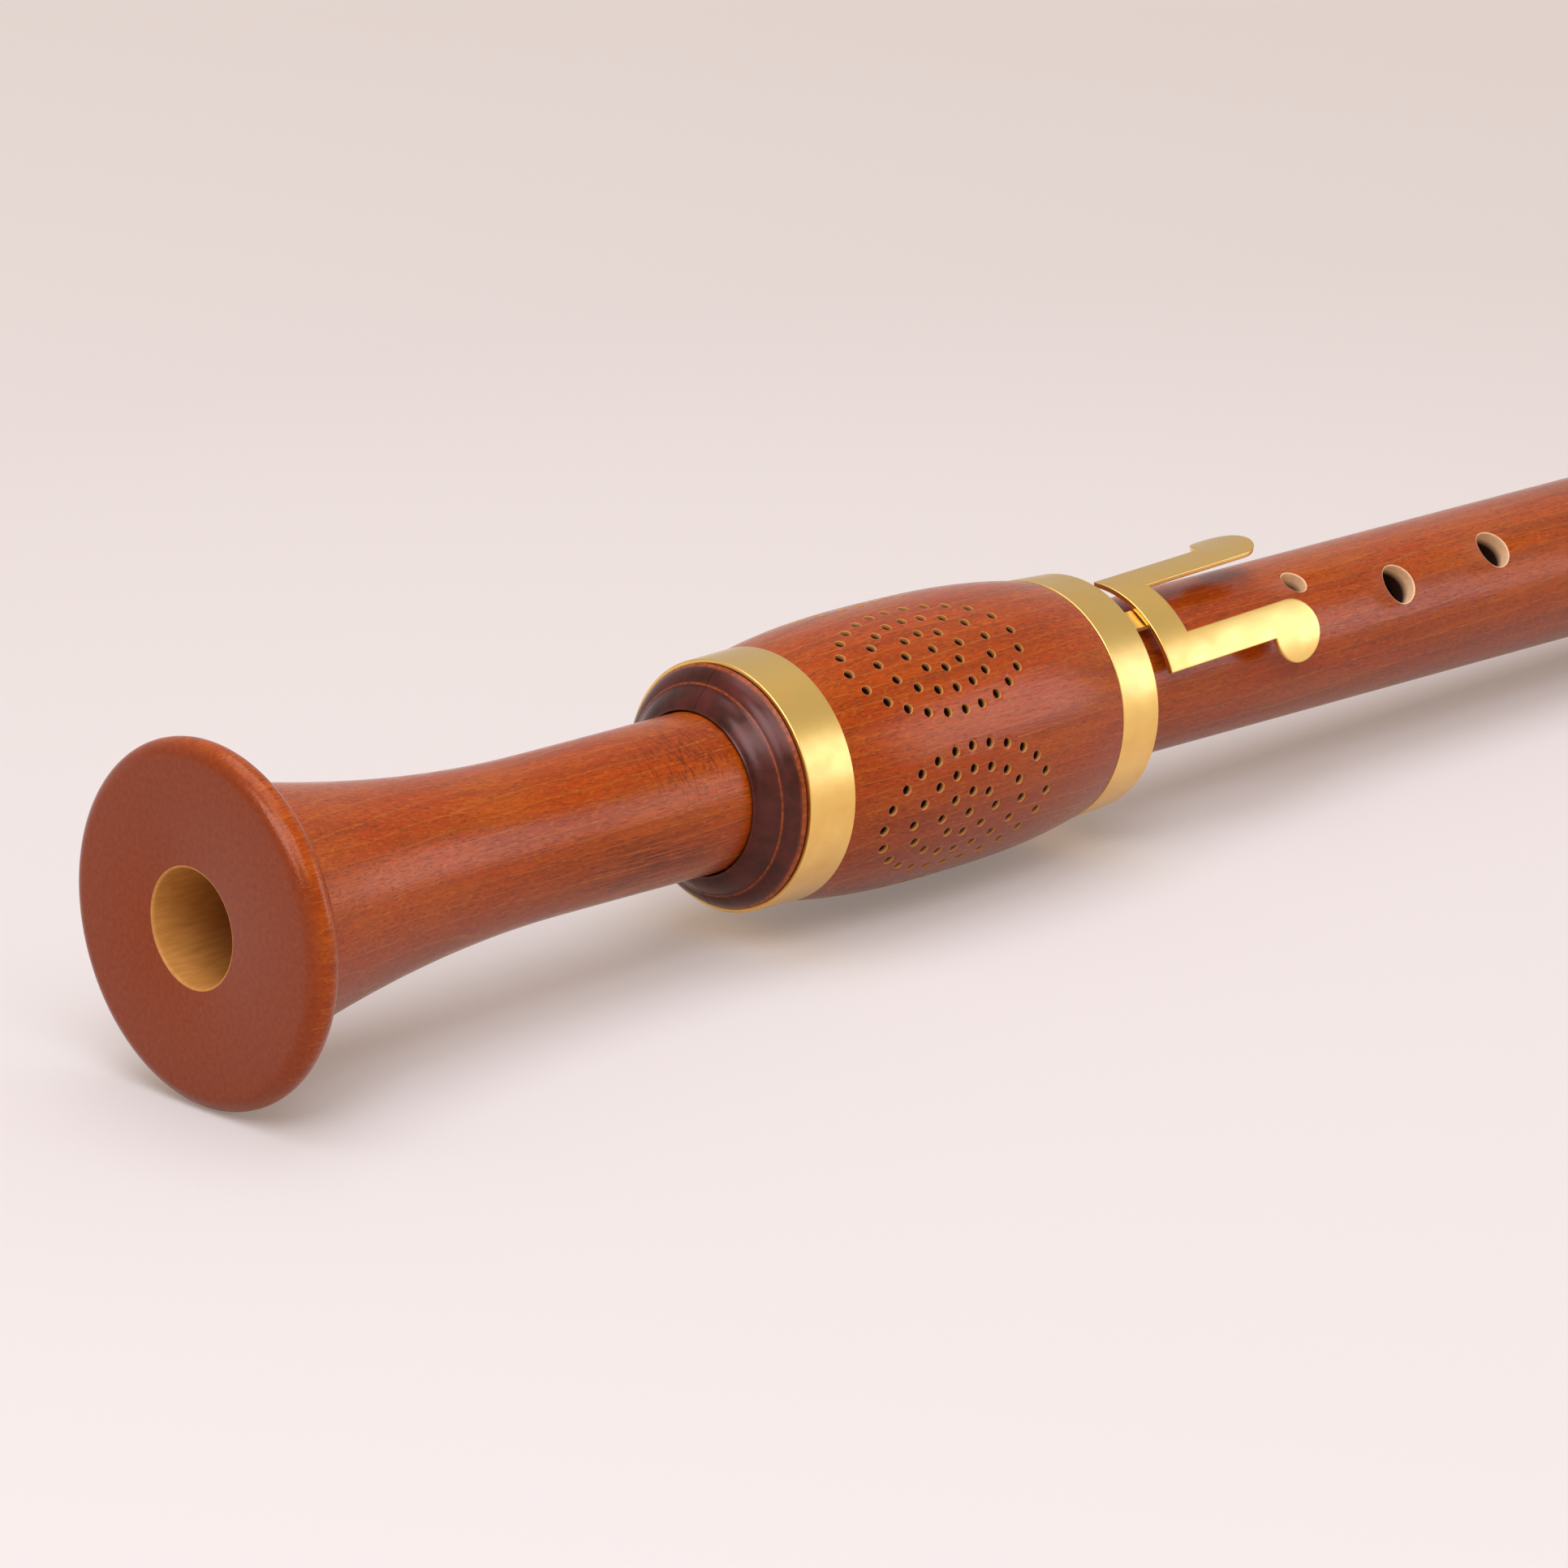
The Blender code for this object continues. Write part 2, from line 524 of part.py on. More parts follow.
def barrel():
    """The pierced wooden sleeve, with a seat at each end for its brass ring and a hollow inside."""
    lower_seat = BARREL_START + LOWER_RING_WIDTH + SEAT_GAP
    upper_seat = BARREL_END - UPPER_RING_WIDTH - SEAT_GAP
    lower_lip = BARREL_START + BARREL_LIP_LENGTH
    upper_lip = BARREL_END - BARREL_LIP_LENGTH
    profile = [(BARREL_END, BARREL_UPPER_BORE), (BARREL_END, RING_SEAT_RADIUS), (upper_seat, RING_SEAT_RADIUS)]
    for index in range(BARREL_ROWS + 1):
        station = upper_seat + (lower_seat - upper_seat) * index / BARREL_ROWS
        profile.append((station, barrel_radius(station)))
    profile += [(lower_seat, RING_SEAT_RADIUS), (BARREL_START, RING_SEAT_RADIUS)]
    profile += [(BARREL_START, BARREL_LOWER_BORE), (lower_lip, BARREL_LOWER_BORE)]
    profile += [(lower_lip + BARREL_SLOPE_LENGTH, BARREL_HOLLOW_RADIUS)]
    profile += [(upper_lip - BARREL_SLOPE_LENGTH, BARREL_HOLLOW_RADIUS), (upper_lip, BARREL_UPPER_BORE)]
    cut(turned("fontanelle_barrel", profile, ROOT, WOOD), rosette_drills())


def oval_points(long_axis, short_axis, count):
    """Points spaced evenly by their distance along an oval."""
    fine = 720
    path = [(long_axis * math.cos(2 * math.pi * k / fine), short_axis * math.sin(2 * math.pi * k / fine))
            for k in range(fine + 1)]
    lengths = [0.0]
    for first, second in zip(path, path[1:]):
        lengths.append(lengths[-1] + math.dist(first, second))
    points = []
    index = 0
    for number in range(count):
        target = lengths[-1] * number / count
        while lengths[index + 1] < target:
            index += 1
        points.append(path[index])
    return points


def rosette_drills():
    """All the drills of the rosettes in one mesh, each pointing at the bore axis."""
    places = [(0.0, 0.0)]
    for number, count in enumerate(ROSETTE_OVALS, start=1):
        places += oval_points(number * ROSETTE_LONG_STEP, number * ROSETTE_SHORT_STEP, count)
    surface = barrel_radius(ROSETTE_STATION)
    inside = BARREL_HOLLOW_RADIUS - CUT_BEYOND
    outside = surface + CUT_BEYOND
    bm = bmesh.new()
    for rosette in range(ROSETTE_COUNT):
        middle = math.radians(ROSETTE_ANGLE) + 2 * math.pi * rosette / ROSETTE_COUNT
        for along, round_the_bore in places:
            turn = Matrix.Rotation(middle + round_the_bore / surface, 4, "X")
            shift = Matrix.Translation((ROSETTE_STATION + along, 0.0, (inside + outside) / 2))
            bmesh.ops.create_cone(bm, cap_ends=True, segments=ROSETTE_HOLE_SIDES, radius1=ROSETTE_HOLE_RADIUS,
                                  radius2=ROSETTE_HOLE_RADIUS, depth=outside - inside, matrix=turn @ shift)
    return place(mesh_object("rosette_drills", bm), ROOT)


def brass_ring(name, start, width, outside):
    end = start + width
    inside = outside - RING_THICKNESS
    turned(name, [(end, inside), (end, outside), (start, outside), (start, inside)], ROOT, BRASS)


def touch(key_line):
    """The butterfly touch, its lever and its axle, on the axle's own centre line."""
    hinge = new_empty("touch_axis", key_line, location=(BAND_STATION, 0, TOUCH_AXLE_HEIGHT))
    lobe_station = TOUCH_FOOT_EDGE + LOBE_FROM_EDGE
    half = [(TOUCH_FOOT_EDGE, TOUCH_HALF_WIDTH)]
    meets = math.degrees(math.asin((TOUCH_HALF_WIDTH - LOBE_OFFSET) / LOBE_RADIUS))
    half += arc((lobe_station, LOBE_OFFSET), LOBE_RADIUS, 180 - meets, -90, 14)
    half += [(TOUCH_FOOT_EDGE + TOUCH_BAR_WIDTH, LOBE_OFFSET - LOBE_RADIUS)]
    bm = flat_mesh(half + [(x, -y) for x, y in reversed(half)], SHEET / 2)
    middle_radius = TOUCH_BEND_RADIUS + SHEET / 2
    bend_centre = TOUCH_INNER_RADIUS - TOUCH_BEND_RADIUS - TOUCH_AXLE_HEIGHT
    widest = LOBE_OFFSET + LOBE_RADIUS
    for index in range(1, TOUCH_STRIPS):
        across = -widest + 2 * widest * index / TOUCH_STRIPS
        geometry = list(bm.verts) + list(bm.edges) + list(bm.faces)
        bmesh.ops.bisect_plane(bm, geom=geometry, plane_co=(0, across, 0), plane_no=(0, 1, 0), dist=1e-7)
    for vert in bm.verts:
        angle = vert.co.y / middle_radius
        radius = middle_radius + vert.co.z
        vert.co = (vert.co.x - BAND_STATION, radius * math.sin(angle), radius * math.cos(angle) + bend_centre)
    rise = Matrix.Rotation(math.radians(-TOUCH_RISE_ANGLE), 4, "Y")
    bmesh.ops.transform(bm, matrix=rise, verts=bm.verts)
    place(mesh_object("touch_plate", bm), hinge, BRASS)

    under_bar = math.sqrt(TOUCH_BEND_RADIUS ** 2 - (LEVER_WIDTH / 2) ** 2) + bend_centre - SLIDE_GAP
    lever_low = under_bar - LEVER_THICKNESS
    head_x = TOUCH_FROM_AXLE + TOUCH_BAR_WIDTH - AXLE_END_INSET
    tail_top = TAIL_TOP - TOUCH_AXLE_HEIGHT
    tail_low = tail_top - LEVER_THICKNESS
    outline = [(-LEVER_TAIL_REACH, tail_top), (-LEVER_TAIL_REACH, tail_low), (-LEVER_TAIL_BEND, tail_low)]
    outline += arc((0, 0), EYE_RADIUS, 215, 325, 6)
    arm = ((LEVER_HEAD_BEND, lever_low), (head_x, lever_low), (head_x, under_bar), (LEVER_HEAD_BEND, under_bar))
    for x, z in arm:
        risen = rise @ Vector((x, 0, z))
        outline.append((risen.x, risen.z))
    outline += arc((0, 0), EYE_RADIUS, 45, 160, 6)
    outline.append((-LEVER_TAIL_BEND, tail_top))
    lever = side_plate("touch_lever", outline, LEVER_WIDTH, hinge, BRASS)
    cut(lever, rod("touch_lever_eye_drill", AXLE_RADIUS + PIN_GAP, (0, -LEVER_WIDTH, 0), (0, LEVER_WIDTH, 0),
                   PIN_SIDES, hinge))
    rod("touch_axle", AXLE_RADIUS, (BAND_STATION, -TOUCH_AXLE_HALF, TOUCH_AXLE_HEIGHT),
        (BAND_STATION, TOUCH_AXLE_HALF, TOUCH_AXLE_HEIGHT), PIN_SIDES, key_line, STEEL)


def flap(key_line):
    """The pad's lever, drawn closed and swung open about its axle, with its pad and leaf spring."""
    open_turn = (0, math.radians(FLAP_TRAVEL_ANGLE), 0)
    hinge = new_empty("flap_axis", key_line, (FLAP_AXLE_STATION, 0, FLAP_AXLE_HEIGHT), open_turn)
    low = FLAP_BOTTOM - FLAP_AXLE_HEIGHT
    arm_low = low + FLAP_ARM_RISE
    tip_low = FLAP_TIP_BOTTOM - FLAP_AXLE_HEIGHT
    disc_end = FLAP_DISC_RADIUS - FLAP_LENGTH
    arm_start = disc_end + 2 * FLAP_ARM_RISE
    outline = [(-FLAP_LENGTH, low), (disc_end, low), (arm_start, arm_low), (0.0, arm_low)]
    outline += [(FLAP_REACH / 3, tip_low), (FLAP_REACH, tip_low)]
    outline += [(x, z + SHEET) for x, z in reversed(outline)]
    lever = side_plate("pad_flap", outline, FLAP_ARM_WIDTH, hinge, BRASS)
    cut(lever, rod("pad_flap_disc", FLAP_DISC_RADIUS, (-FLAP_LENGTH, 0, low - JOINED_STEP),
                   (-FLAP_LENGTH, 0, low + SHEET + JOINED_STEP), DISC_SIDES, hinge), "UNION")
    knuckle_half = FLAP_ARM_WIDTH / 2 + JOINED_STEP
    cut(lever, rod("pad_flap_knuckle", KNUCKLE_RADIUS, (0, -knuckle_half, 0), (0, knuckle_half, 0),
                   DRILL_SIDES, hinge), "UNION")
    cut(lever, rod("pad_flap_eye_drill", AXLE_RADIUS + PIN_GAP, (0, -FLAP_ARM_WIDTH, 0), (0, FLAP_ARM_WIDTH, 0),
                   PIN_SIDES, hinge))
    pad_top = low - PAD_GLUE_GAP
    rod("leather_pad", PAD_RADIUS, (-FLAP_LENGTH, 0, pad_top - PAD_THICKNESS), (-FLAP_LENGTH, 0, pad_top),
        DISC_SIDES, hinge, LEATHER)

    spring_top = arm_low - SLIDE_GAP
    flat_end = arm_start + SPRING_LENGTH / 3
    tip = (arm_start + SPRING_LENGTH, spring_top - SPRING_DROP)
    outline = [(arm_start, spring_top), (flat_end, spring_top), tip]
    outline += [(x, z - SPRING_THICKNESS) for x, z in reversed(outline)]
    side_plate("flap_spring", outline, SPRING_WIDTH, hinge, STEEL)


def saddle(key_line):
    """The brass saddle that carries the flap's axle, with its two screws."""
    ear_inside = FLAP_ARM_WIDTH / 2 + SLIDE_GAP
    ear_outside = ear_inside + SADDLE_EAR
    top = FLAP_AXLE_HEIGHT + KNUCKLE_RADIUS
    start_angle = 90 - math.degrees(SADDLE_HALF_WIDTH / SADDLE_INSIDE)
    end_angle = 180 - start_angle
    outside = arc((0, 0), SADDLE_OUTSIDE, end_angle, start_angle, 10)
    root = math.sqrt(SADDLE_OUTSIDE ** 2 - ear_outside ** 2)
    floor = math.sqrt(SADDLE_OUTSIDE ** 2 - ear_inside ** 2)
    section = arc((0, 0), SADDLE_INSIDE, start_angle, end_angle, 10)
    section += [point for point in outside if point[0] < -ear_outside]
    section += [(-ear_outside, root), (-ear_outside, top), (-ear_inside, top), (-ear_inside, floor)]
    section += [(0.0, SADDLE_OUTSIDE), (ear_inside, floor), (ear_inside, top), (ear_outside, top)]
    section += [(ear_outside, root)] + [point for point in outside if point[0] > ear_outside]
    bm = along_bore(flat_mesh(section, SADDLE_LENGTH / 2), FLAP_AXLE_STATION)
    bracket = place(mesh_object("flap_saddle", bm), key_line, BRASS)
    beside_ears = ear_outside + CUT_BEYOND
    for end, near, far in (("foot", -SADDLE_LENGTH, -SADDLE_EAR_LENGTH / 2),
                           ("head", SADDLE_EAR_LENGTH / 2, SADDLE_LENGTH)):
        cut(bracket, box(f"saddle_{end}_trim",
                         (FLAP_AXLE_STATION + near, -beside_ears, SADDLE_OUTSIDE + JOINED_STEP),
                         (FLAP_AXLE_STATION + far, beside_ears, top + CUT_BEYOND), key_line))
    cut(bracket, rod("saddle_axle_drill", AXLE_RADIUS + PIN_GAP,
                     (FLAP_AXLE_STATION, -beside_ears, FLAP_AXLE_HEIGHT),
                     (FLAP_AXLE_STATION, beside_ears, FLAP_AXLE_HEIGHT), PIN_SIDES, key_line))
    axle_half = ear_outside + SADDLE_AXLE_PROUD
    rod("flap_axle", AXLE_RADIUS, (FLAP_AXLE_STATION, -axle_half, FLAP_AXLE_HEIGHT),
        (FLAP_AXLE_STATION, axle_half, FLAP_AXLE_HEIGHT), PIN_SIDES, key_line, STEEL)
    for name, side in SADDLE_SIDES:
        cut(bracket, rod(name + "_clearance", SCREW_RADIUS + SLIDE_GAP,
                         saddle_screw_point(side, SADDLE_INSIDE - CUT_BEYOND),
                         saddle_screw_point(side, SADDLE_OUTSIDE + CUT_BEYOND), PIN_SIDES, key_line))
        head_low = SADDLE_OUTSIDE + SLIDE_GAP
        screw = rod(name, SCREW_RADIUS, saddle_screw_point(side, SADDLE_INSIDE - SCREW_LENGTH),
                    saddle_screw_point(side, head_low + SCREW_HEAD_HEIGHT / 2), PIN_SIDES, key_line, BRASS)
        cut(screw, rod(name + "_head", SCREW_HEAD_RADIUS, saddle_screw_point(side, head_low),
                       saddle_screw_point(side, head_low + SCREW_HEAD_HEIGHT), DRILL_SIDES, key_line), "UNION")


def tone_hole_seat(key_line):
    """The brass ring let into the tube that gives the pad a flat seat."""
    seat = rod("tone_hole_seat", SEAT_RADIUS, (KEY_HOLE_STATION, 0, SEAT_TOP - SEAT_DEPTH),
               (KEY_HOLE_STATION, 0, SEAT_TOP), DISC_SIDES, key_line, BRASS)
    cut(seat, rod("seat_hole_drill", KEY_HOLE_RADIUS, (KEY_HOLE_STATION, 0, DRILL_START_RADIUS),
                  (KEY_HOLE_STATION, 0, BAND_RADIUS), DISC_SIDES, key_line))


def tenon_cork():
    start = BODY_SHOULDER + (TENON_LENGTH - CORK_LENGTH) / 2
    end = start + CORK_LENGTH
    turned("tenon_cork", [(end, CORK_INSIDE), (end, CORK_OUTSIDE), (start, CORK_OUTSIDE), (start, CORK_INSIDE)],
           ROOT, CORK)


def windway_section():
    """The curved slot of the windway as (across, height) points, cut from inside the bore."""
    roof = BLOCK_RADIUS + WINDWAY_HEIGHT
    inside = BLOCK_RADIUS - WINDWAY_HEIGHT
    roof_spread = math.degrees(math.asin(WINDOW_HALF_WIDTH / roof))
    inside_spread = math.degrees(math.asin(WINDOW_HALF_WIDTH / inside))
    points = arc((0, 0), roof, 90 - roof_spread, 90 + roof_spread, 8)
    return points + arc((0, 0), inside, 90 + inside_spread, 90 - inside_spread, 8)


def head_joint(hole_line):
    """The head with its socket, ring, window, windway and beak, and the block inside it."""
    socket_end = BODY_SHOULDER + TENON_LENGTH + SOCKET_PAST_TENON
    ring_end = HEAD_START + SOCKET_RING_WIDTH
    ring_seat = SOCKET_RADIUS - RING_THICKNESS - SEAT_GAP
    profile = [(HEAD_END, HEAD_BORE_RADIUS)]
    profile += arc((HEAD_END - HEAD_EDGE_ROUND, HEAD_TOP_RADIUS - HEAD_EDGE_ROUND), HEAD_EDGE_ROUND, 0, 90, 3)
    profile.append((WINDOW_STATION - LABIUM_LENGTH, HEAD_TOP_RADIUS))
    for share in (0.0, 0.4, 0.7, 1.0):
        station = ring_end + SEAT_GAP + SOCKET_SWELL_LENGTH * (1.0 - share)
        profile.append((station, HEAD_WAIST_RADIUS + (SOCKET_RADIUS - SEAT_GAP - HEAD_WAIST_RADIUS) * share ** 2))
    profile += [(ring_end + SEAT_GAP, ring_seat), (HEAD_START, ring_seat), (HEAD_START, SOCKET_BORE)]
    profile += [(socket_end, SOCKET_BORE), (socket_end, HEAD_BORE_RADIUS)]
    head = turned("head_joint", profile, ROOT, WOOD)
    brass_ring("socket_ring", HEAD_START, SOCKET_RING_WIDTH, SOCKET_RADIUS)
    block = rod("block", BLOCK_RADIUS, (BLOCK_START, 0, 0), (HEAD_END, 0, 0), STEPS, hole_line, CEDAR)

    windway = along_bore(flat_mesh(windway_section(), (HEAD_END - WINDOW_STATION) / 2),
                         (HEAD_END + WINDOW_STATION) / 2 + WINDOW_LENGTH / 2)
    cut(head, place(mesh_object("windway_cutter", windway), hole_line))
    lip = HEAD_BORE_RADIUS + LABIUM_EDGE
    above = HEAD_TOP_RADIUS + CUT_BEYOND
    inside = HEAD_BORE_RADIUS / 2
    run = LABIUM_LENGTH * (above - lip) / (HEAD_TOP_RADIUS - lip)
    window = [(BLOCK_START, inside), (BLOCK_START, above), (WINDOW_STATION - run, above)]
    window += [(WINDOW_STATION, lip), (WINDOW_STATION, inside)]
    cut(head, side_plate("window_cutter", window, 2 * WINDOW_HALF_WIDTH, hole_line))

    tip = Vector((HEAD_END, HEAD_TOP_RADIUS - BEAK_TIP_THICKNESS))
    heel = Vector((HEAD_END - BEAK_CUT_LENGTH, -HEAD_TOP_RADIUS))
    chord = tip - heel
    across = math.sqrt(BEAK_CUT_RADIUS ** 2 - (chord.length / 2) ** 2)
    centre = (tip + heel) / 2 + Vector((chord.y, -chord.x)) / chord.length * across
    reach = HEAD_TOP_RADIUS + CUT_BEYOND
    for target in (head, block):
        cut(target, rod(target.name + "_beak_cutter", BEAK_CUT_RADIUS, (centre.x, -reach, centre.y),
                        (centre.x, reach, centre.y), BEAK_CUT_SIDES, hole_line))


def corners_of_pieces():
    graph = bpy.context.evaluated_depsgraph_get()
    points = []
    for obj in PIECES.objects:
        if obj.type == "MESH":
            shaped = obj.evaluated_get(graph)
            points += [shaped.matrix_world @ vert.co for vert in shaped.data.vertices]
    return points


def lay_on_the_table():
    """Tilts the instrument until its bell and its head rest together, then centres its box over the origin."""
    bell_bottom = -BELL_RADIUS
    slopes = [(point.z - bell_bottom) / (point.x - BELL_RIM_ROUND)
              for point in corners_of_pieces() if point.x > STEM_WAIST_STATION]
    ROOT.rotation_euler = (0, math.atan(min(slopes)), 0)
    bpy.context.view_layer.update()
    points = corners_of_pieces()
    low = Vector(min(point[axis] for point in points) for axis in range(3))
    high = Vector(max(point[axis] for point in points) for axis in range(3))
    ROOT.location = (-(low.x + high.x) / 2, -(low.y + high.y) / 2, -low.z)


SADDLE_SIDES = (("saddle_screw_left", -1), ("saddle_screw_right", 1))

reset()
PIECES = new_collection("renaissance_recorder")
CUTTERS = new_collection("cutters")
WOOD = new_material("stained_pearwood", (0.36, 0.075, 0.018), 0.36)
DARK_WOOD = new_material("dark_stained_wood", (0.065, 0.016, 0.012), 0.33)
BRASS = new_material("satin_brass", (0.80, 0.58, 0.24), 0.32, 1.0)
STEEL = new_material("steel_wire", (0.55, 0.55, 0.56), 0.3, 1.0)
LEATHER = new_material("pad_leather", (0.55, 0.42, 0.30), 0.8)
CORK = new_material("tenon_cork", (0.50, 0.32, 0.17), 0.85)
CEDAR = new_material("block_cedar", (0.50, 0.24, 0.12), 0.6)

ROOT = new_empty("instrument_axis", None)
HOLE_LINE = new_empty("hole_line", ROOT, rotation=(math.radians(HOLE_LINE_ANGLE), 0, 0))
KEY_LINE = new_empty("key_line", ROOT, rotation=(math.radians(KEY_LINE_ANGLE), 0, 0))

body_joint(HOLE_LINE, KEY_LINE)
collar_halves()
barrel()
brass_ring("lower_ring", BARREL_START, LOWER_RING_WIDTH, RING_RADIUS)
brass_ring("upper_ring", BARREL_END - UPPER_RING_WIDTH, UPPER_RING_WIDTH, RING_RADIUS)
touch(KEY_LINE)
flap(KEY_LINE)
saddle(KEY_LINE)
tone_hole_seat(KEY_LINE)
tenon_cork()
head_joint(HOLE_LINE)
lay_on_the_table()
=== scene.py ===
import json
import math

import bmesh
import bpy
from mathutils import Matrix, Vector


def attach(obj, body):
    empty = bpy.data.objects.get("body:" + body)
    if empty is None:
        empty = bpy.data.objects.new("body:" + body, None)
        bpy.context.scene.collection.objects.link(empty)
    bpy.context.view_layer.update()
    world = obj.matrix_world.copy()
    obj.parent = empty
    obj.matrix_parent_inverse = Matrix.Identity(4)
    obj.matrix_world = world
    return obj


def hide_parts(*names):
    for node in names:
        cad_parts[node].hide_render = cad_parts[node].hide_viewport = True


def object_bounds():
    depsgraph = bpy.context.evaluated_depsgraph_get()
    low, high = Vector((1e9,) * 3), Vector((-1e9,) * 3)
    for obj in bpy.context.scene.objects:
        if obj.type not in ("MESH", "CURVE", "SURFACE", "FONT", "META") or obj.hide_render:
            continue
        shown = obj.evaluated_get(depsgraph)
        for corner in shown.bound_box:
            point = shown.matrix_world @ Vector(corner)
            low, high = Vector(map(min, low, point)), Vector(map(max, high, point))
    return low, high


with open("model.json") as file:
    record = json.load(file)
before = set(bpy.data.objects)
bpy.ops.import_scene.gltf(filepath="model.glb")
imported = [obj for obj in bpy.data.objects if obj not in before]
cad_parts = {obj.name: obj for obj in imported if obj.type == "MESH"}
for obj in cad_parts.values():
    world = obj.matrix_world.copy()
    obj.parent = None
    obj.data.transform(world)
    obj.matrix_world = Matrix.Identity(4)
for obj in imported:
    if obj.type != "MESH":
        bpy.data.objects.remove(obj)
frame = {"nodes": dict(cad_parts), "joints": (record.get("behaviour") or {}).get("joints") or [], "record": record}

CAD_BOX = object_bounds()
MM = 0.001

# The bore frame: X runs from the foot face to the beak, and Z is straight up from it.
# Lengths and places are in millimetres of this frame, down to the camera.
HEAD_SLIDE = next(joint for joint in frame["joints"] if joint["name"] == "head_slide")
BORE_AXIS = Vector(HEAD_SLIDE["axis"]).normalized()
BORE_UP = Vector((-BORE_AXIS.z, 0.0, BORE_AXIS.x))
FOOT_MOUNT_HEIGHT = 24.0
FOOT_MOUNT = Vector(frame["record"]["mounts"][0]["pos_m"])
BORE = Matrix.Translation(FOOT_MOUNT - BORE_UP * FOOT_MOUNT_HEIGHT * MM)
BORE = BORE @ Matrix((BORE_AXIS, Vector((0.0, 1.0, 0.0)), BORE_UP)).transposed().to_4x4()

# How finely the turned pieces are rounded, and the angle in degrees from which an edge shades as sharp
ROUND = 144
HOLE_ROUND = 48
DRILL_ROUND = 16
BEAK_CUTTER_ROUND = 256
SHARP_ANGLE = 35.0

# Numbers of a piece's materials: its finished outside, its cut inside, and the walls of its finger holes
OUTER, INNER, HOLE_WALL = 0, 1, 2

# Angles round the bore, counted from straight up towards the side that faces the camera
HOLE_LINE = 50.0
KEY_LINE = 35.0
FIRST_ROSETTE = 35.0
COLLAR_SPLIT = 0.6

# Bell foot and tube
BELL_RADIUS = 37.0
BELL_RIM_ROUND = 3.6
BELL_FACE_FLAT = 0.2
BELL_THROAT_RADIUS = 29.9
BELL_FLARE_POWER = 1.9
WAIST_RADIUS = 17.0
WAIST_STATION = 88.0
SWELL_START = 150.0
SWELL_POWER = 1.5
TUBE_RADIUS_AT_KEY = 17.6
TUBE_RADIUS_AT_TOP = 20.8
SHOULDER = 700.0
SHOULDER_ROUND = 0.6
UNDER_SHOULDER = 10.0
TENON_LENGTH = 28.0
TENON_RADIUS = 17.5
TENON_CHAMFER = 0.5
SEAT_GAP = 0.3
BORE_FOOT_RADIUS = 11.9
BORE_MOUTH_ROUND = 0.5
BORE_CHOKE_RADIUS = 10.6
BORE_CHOKE_STATION = 205.0
BORE_FLARE_POWER = 1.5
BORE_TOP_RADIUS = 13.2
BORE_CONE_END = 560.0

# Finger holes: station, angle round the bore, radius. The thumb hole is opposite the line of holes.
FINGER_HOLES = (
    (322.6, 31.0, 3.1),
    (355.4, 54.0, 4.85),
    (393.7, 47.0, 4.75),
    (452.0, 50.0, 4.3),
    (492.0, 50.0, 4.8),
    (534.0, 50.0, 4.4),
    (546.0, 230.0, 4.0),
)
HOLE_EDGE = 0.4

# A drilled hole's rounded mouth turns to this angle, then runs out straight above the surface
MOUTH_ANGLE = 65.0
MOUTH_STEPS = 4
MOUTH_RISE = 0.5

# How near the bore axis the drills start, and how far out the cutters reach
DRILL_START = 4.0
CUTTER_HEIGHT = 30.0

# Key hole and the band under the fontanelle
KEY_HOLE_STATION = 183.0
KEY_HOLE_RADIUS = 4.2
SEAT_POCKET_RADIUS = 6.3
SEAT_POCKET_FLOOR = 14.6
BAND_STATION = 249.0
BAND_WIDTH = 7.0
BAND_RADIUS = 23.67
BAND_EDGE = 0.4
TOUCH_AXLE_HEIGHT = 20.576
AXLE_HOLE_RADIUS = 0.96
AXLE_HOLE_REACH = 20.0
LEVER_SLOT_HALF = 2.85
LEVER_SLOT_FLOOR = 18.23
LEVER_SLOT_PAST_BAND = 0.05

# Collar
COLLAR_START = 135.3
COLLAR_END = 142.8
COLLAR_BORE = 17.7
COLLAR_BORE_ROUND = 0.25
COLLAR_CONE_END = 139.0
COLLAR_CONE_RADIUS = 22.9
COLLAR_CONE_FOOT = (0.2, 0.5)
COLLAR_CONE_SWELL = 0.5
COLLAR_BEAD_RADIUS = 26.55
COLLAR_BEAD_ROUND = 6.0
COLLAR_BEAD_TOP = (0.15, 0.1)
COLLAR_STRIP_START = 142.0
COLLAR_STRIP_RADIUS = 26.1
COLLAR_EDGE = 0.2
COLLAR_SPIGOT_RADIUS = 24.9
COLLAR_SPIGOT_END = 150.5
COLLAR_CRACK = 0.12

# The corner between the collar's bead and cone, as distances along and out from where the cone ends
COLLAR_CORNER = ((0.08, 0.02), (0.0, -0.1), (-0.1, -0.26), (-0.24, -0.5))

# How far each stretch of the collar is rubbed: from the bead's rim over its strip, and over the corner
COLLAR_RIM_WEAR = (0.9, 1.0, 1.0, 0.45, 0.15)
COLLAR_CORNER_WEAR = (0.3, 1.0, 0.8)

# Fontanelle and its rings: the rings taper a little, as the ends of the barrel do
BARREL_START = 143.1
BARREL_END = 254.3
LOWER_RING_END = 156.1
UPPER_RING_START = 241.9
LOWER_RING_RADII = (27.34, 27.72)
UPPER_RING_RADII = (27.66, 27.14)
RING_WALL = 0.85
RING_LIP = 0.22
RING_FLAT_FROM_LIP = 0.05
BARREL_FLUSH = 27.5
BARREL_BULGE = 3.1
BARREL_BULGE_POWER = 2.6
BARREL_PAST_RING = 0.1
BARREL_LOWER_BORE = 25.18
BARREL_UPPER_BORE = 23.98
BARREL_HOLLOW = 26.38
BARREL_LIP_LENGTH = 17.0
BARREL_SLOPE_LENGTH = 7.0

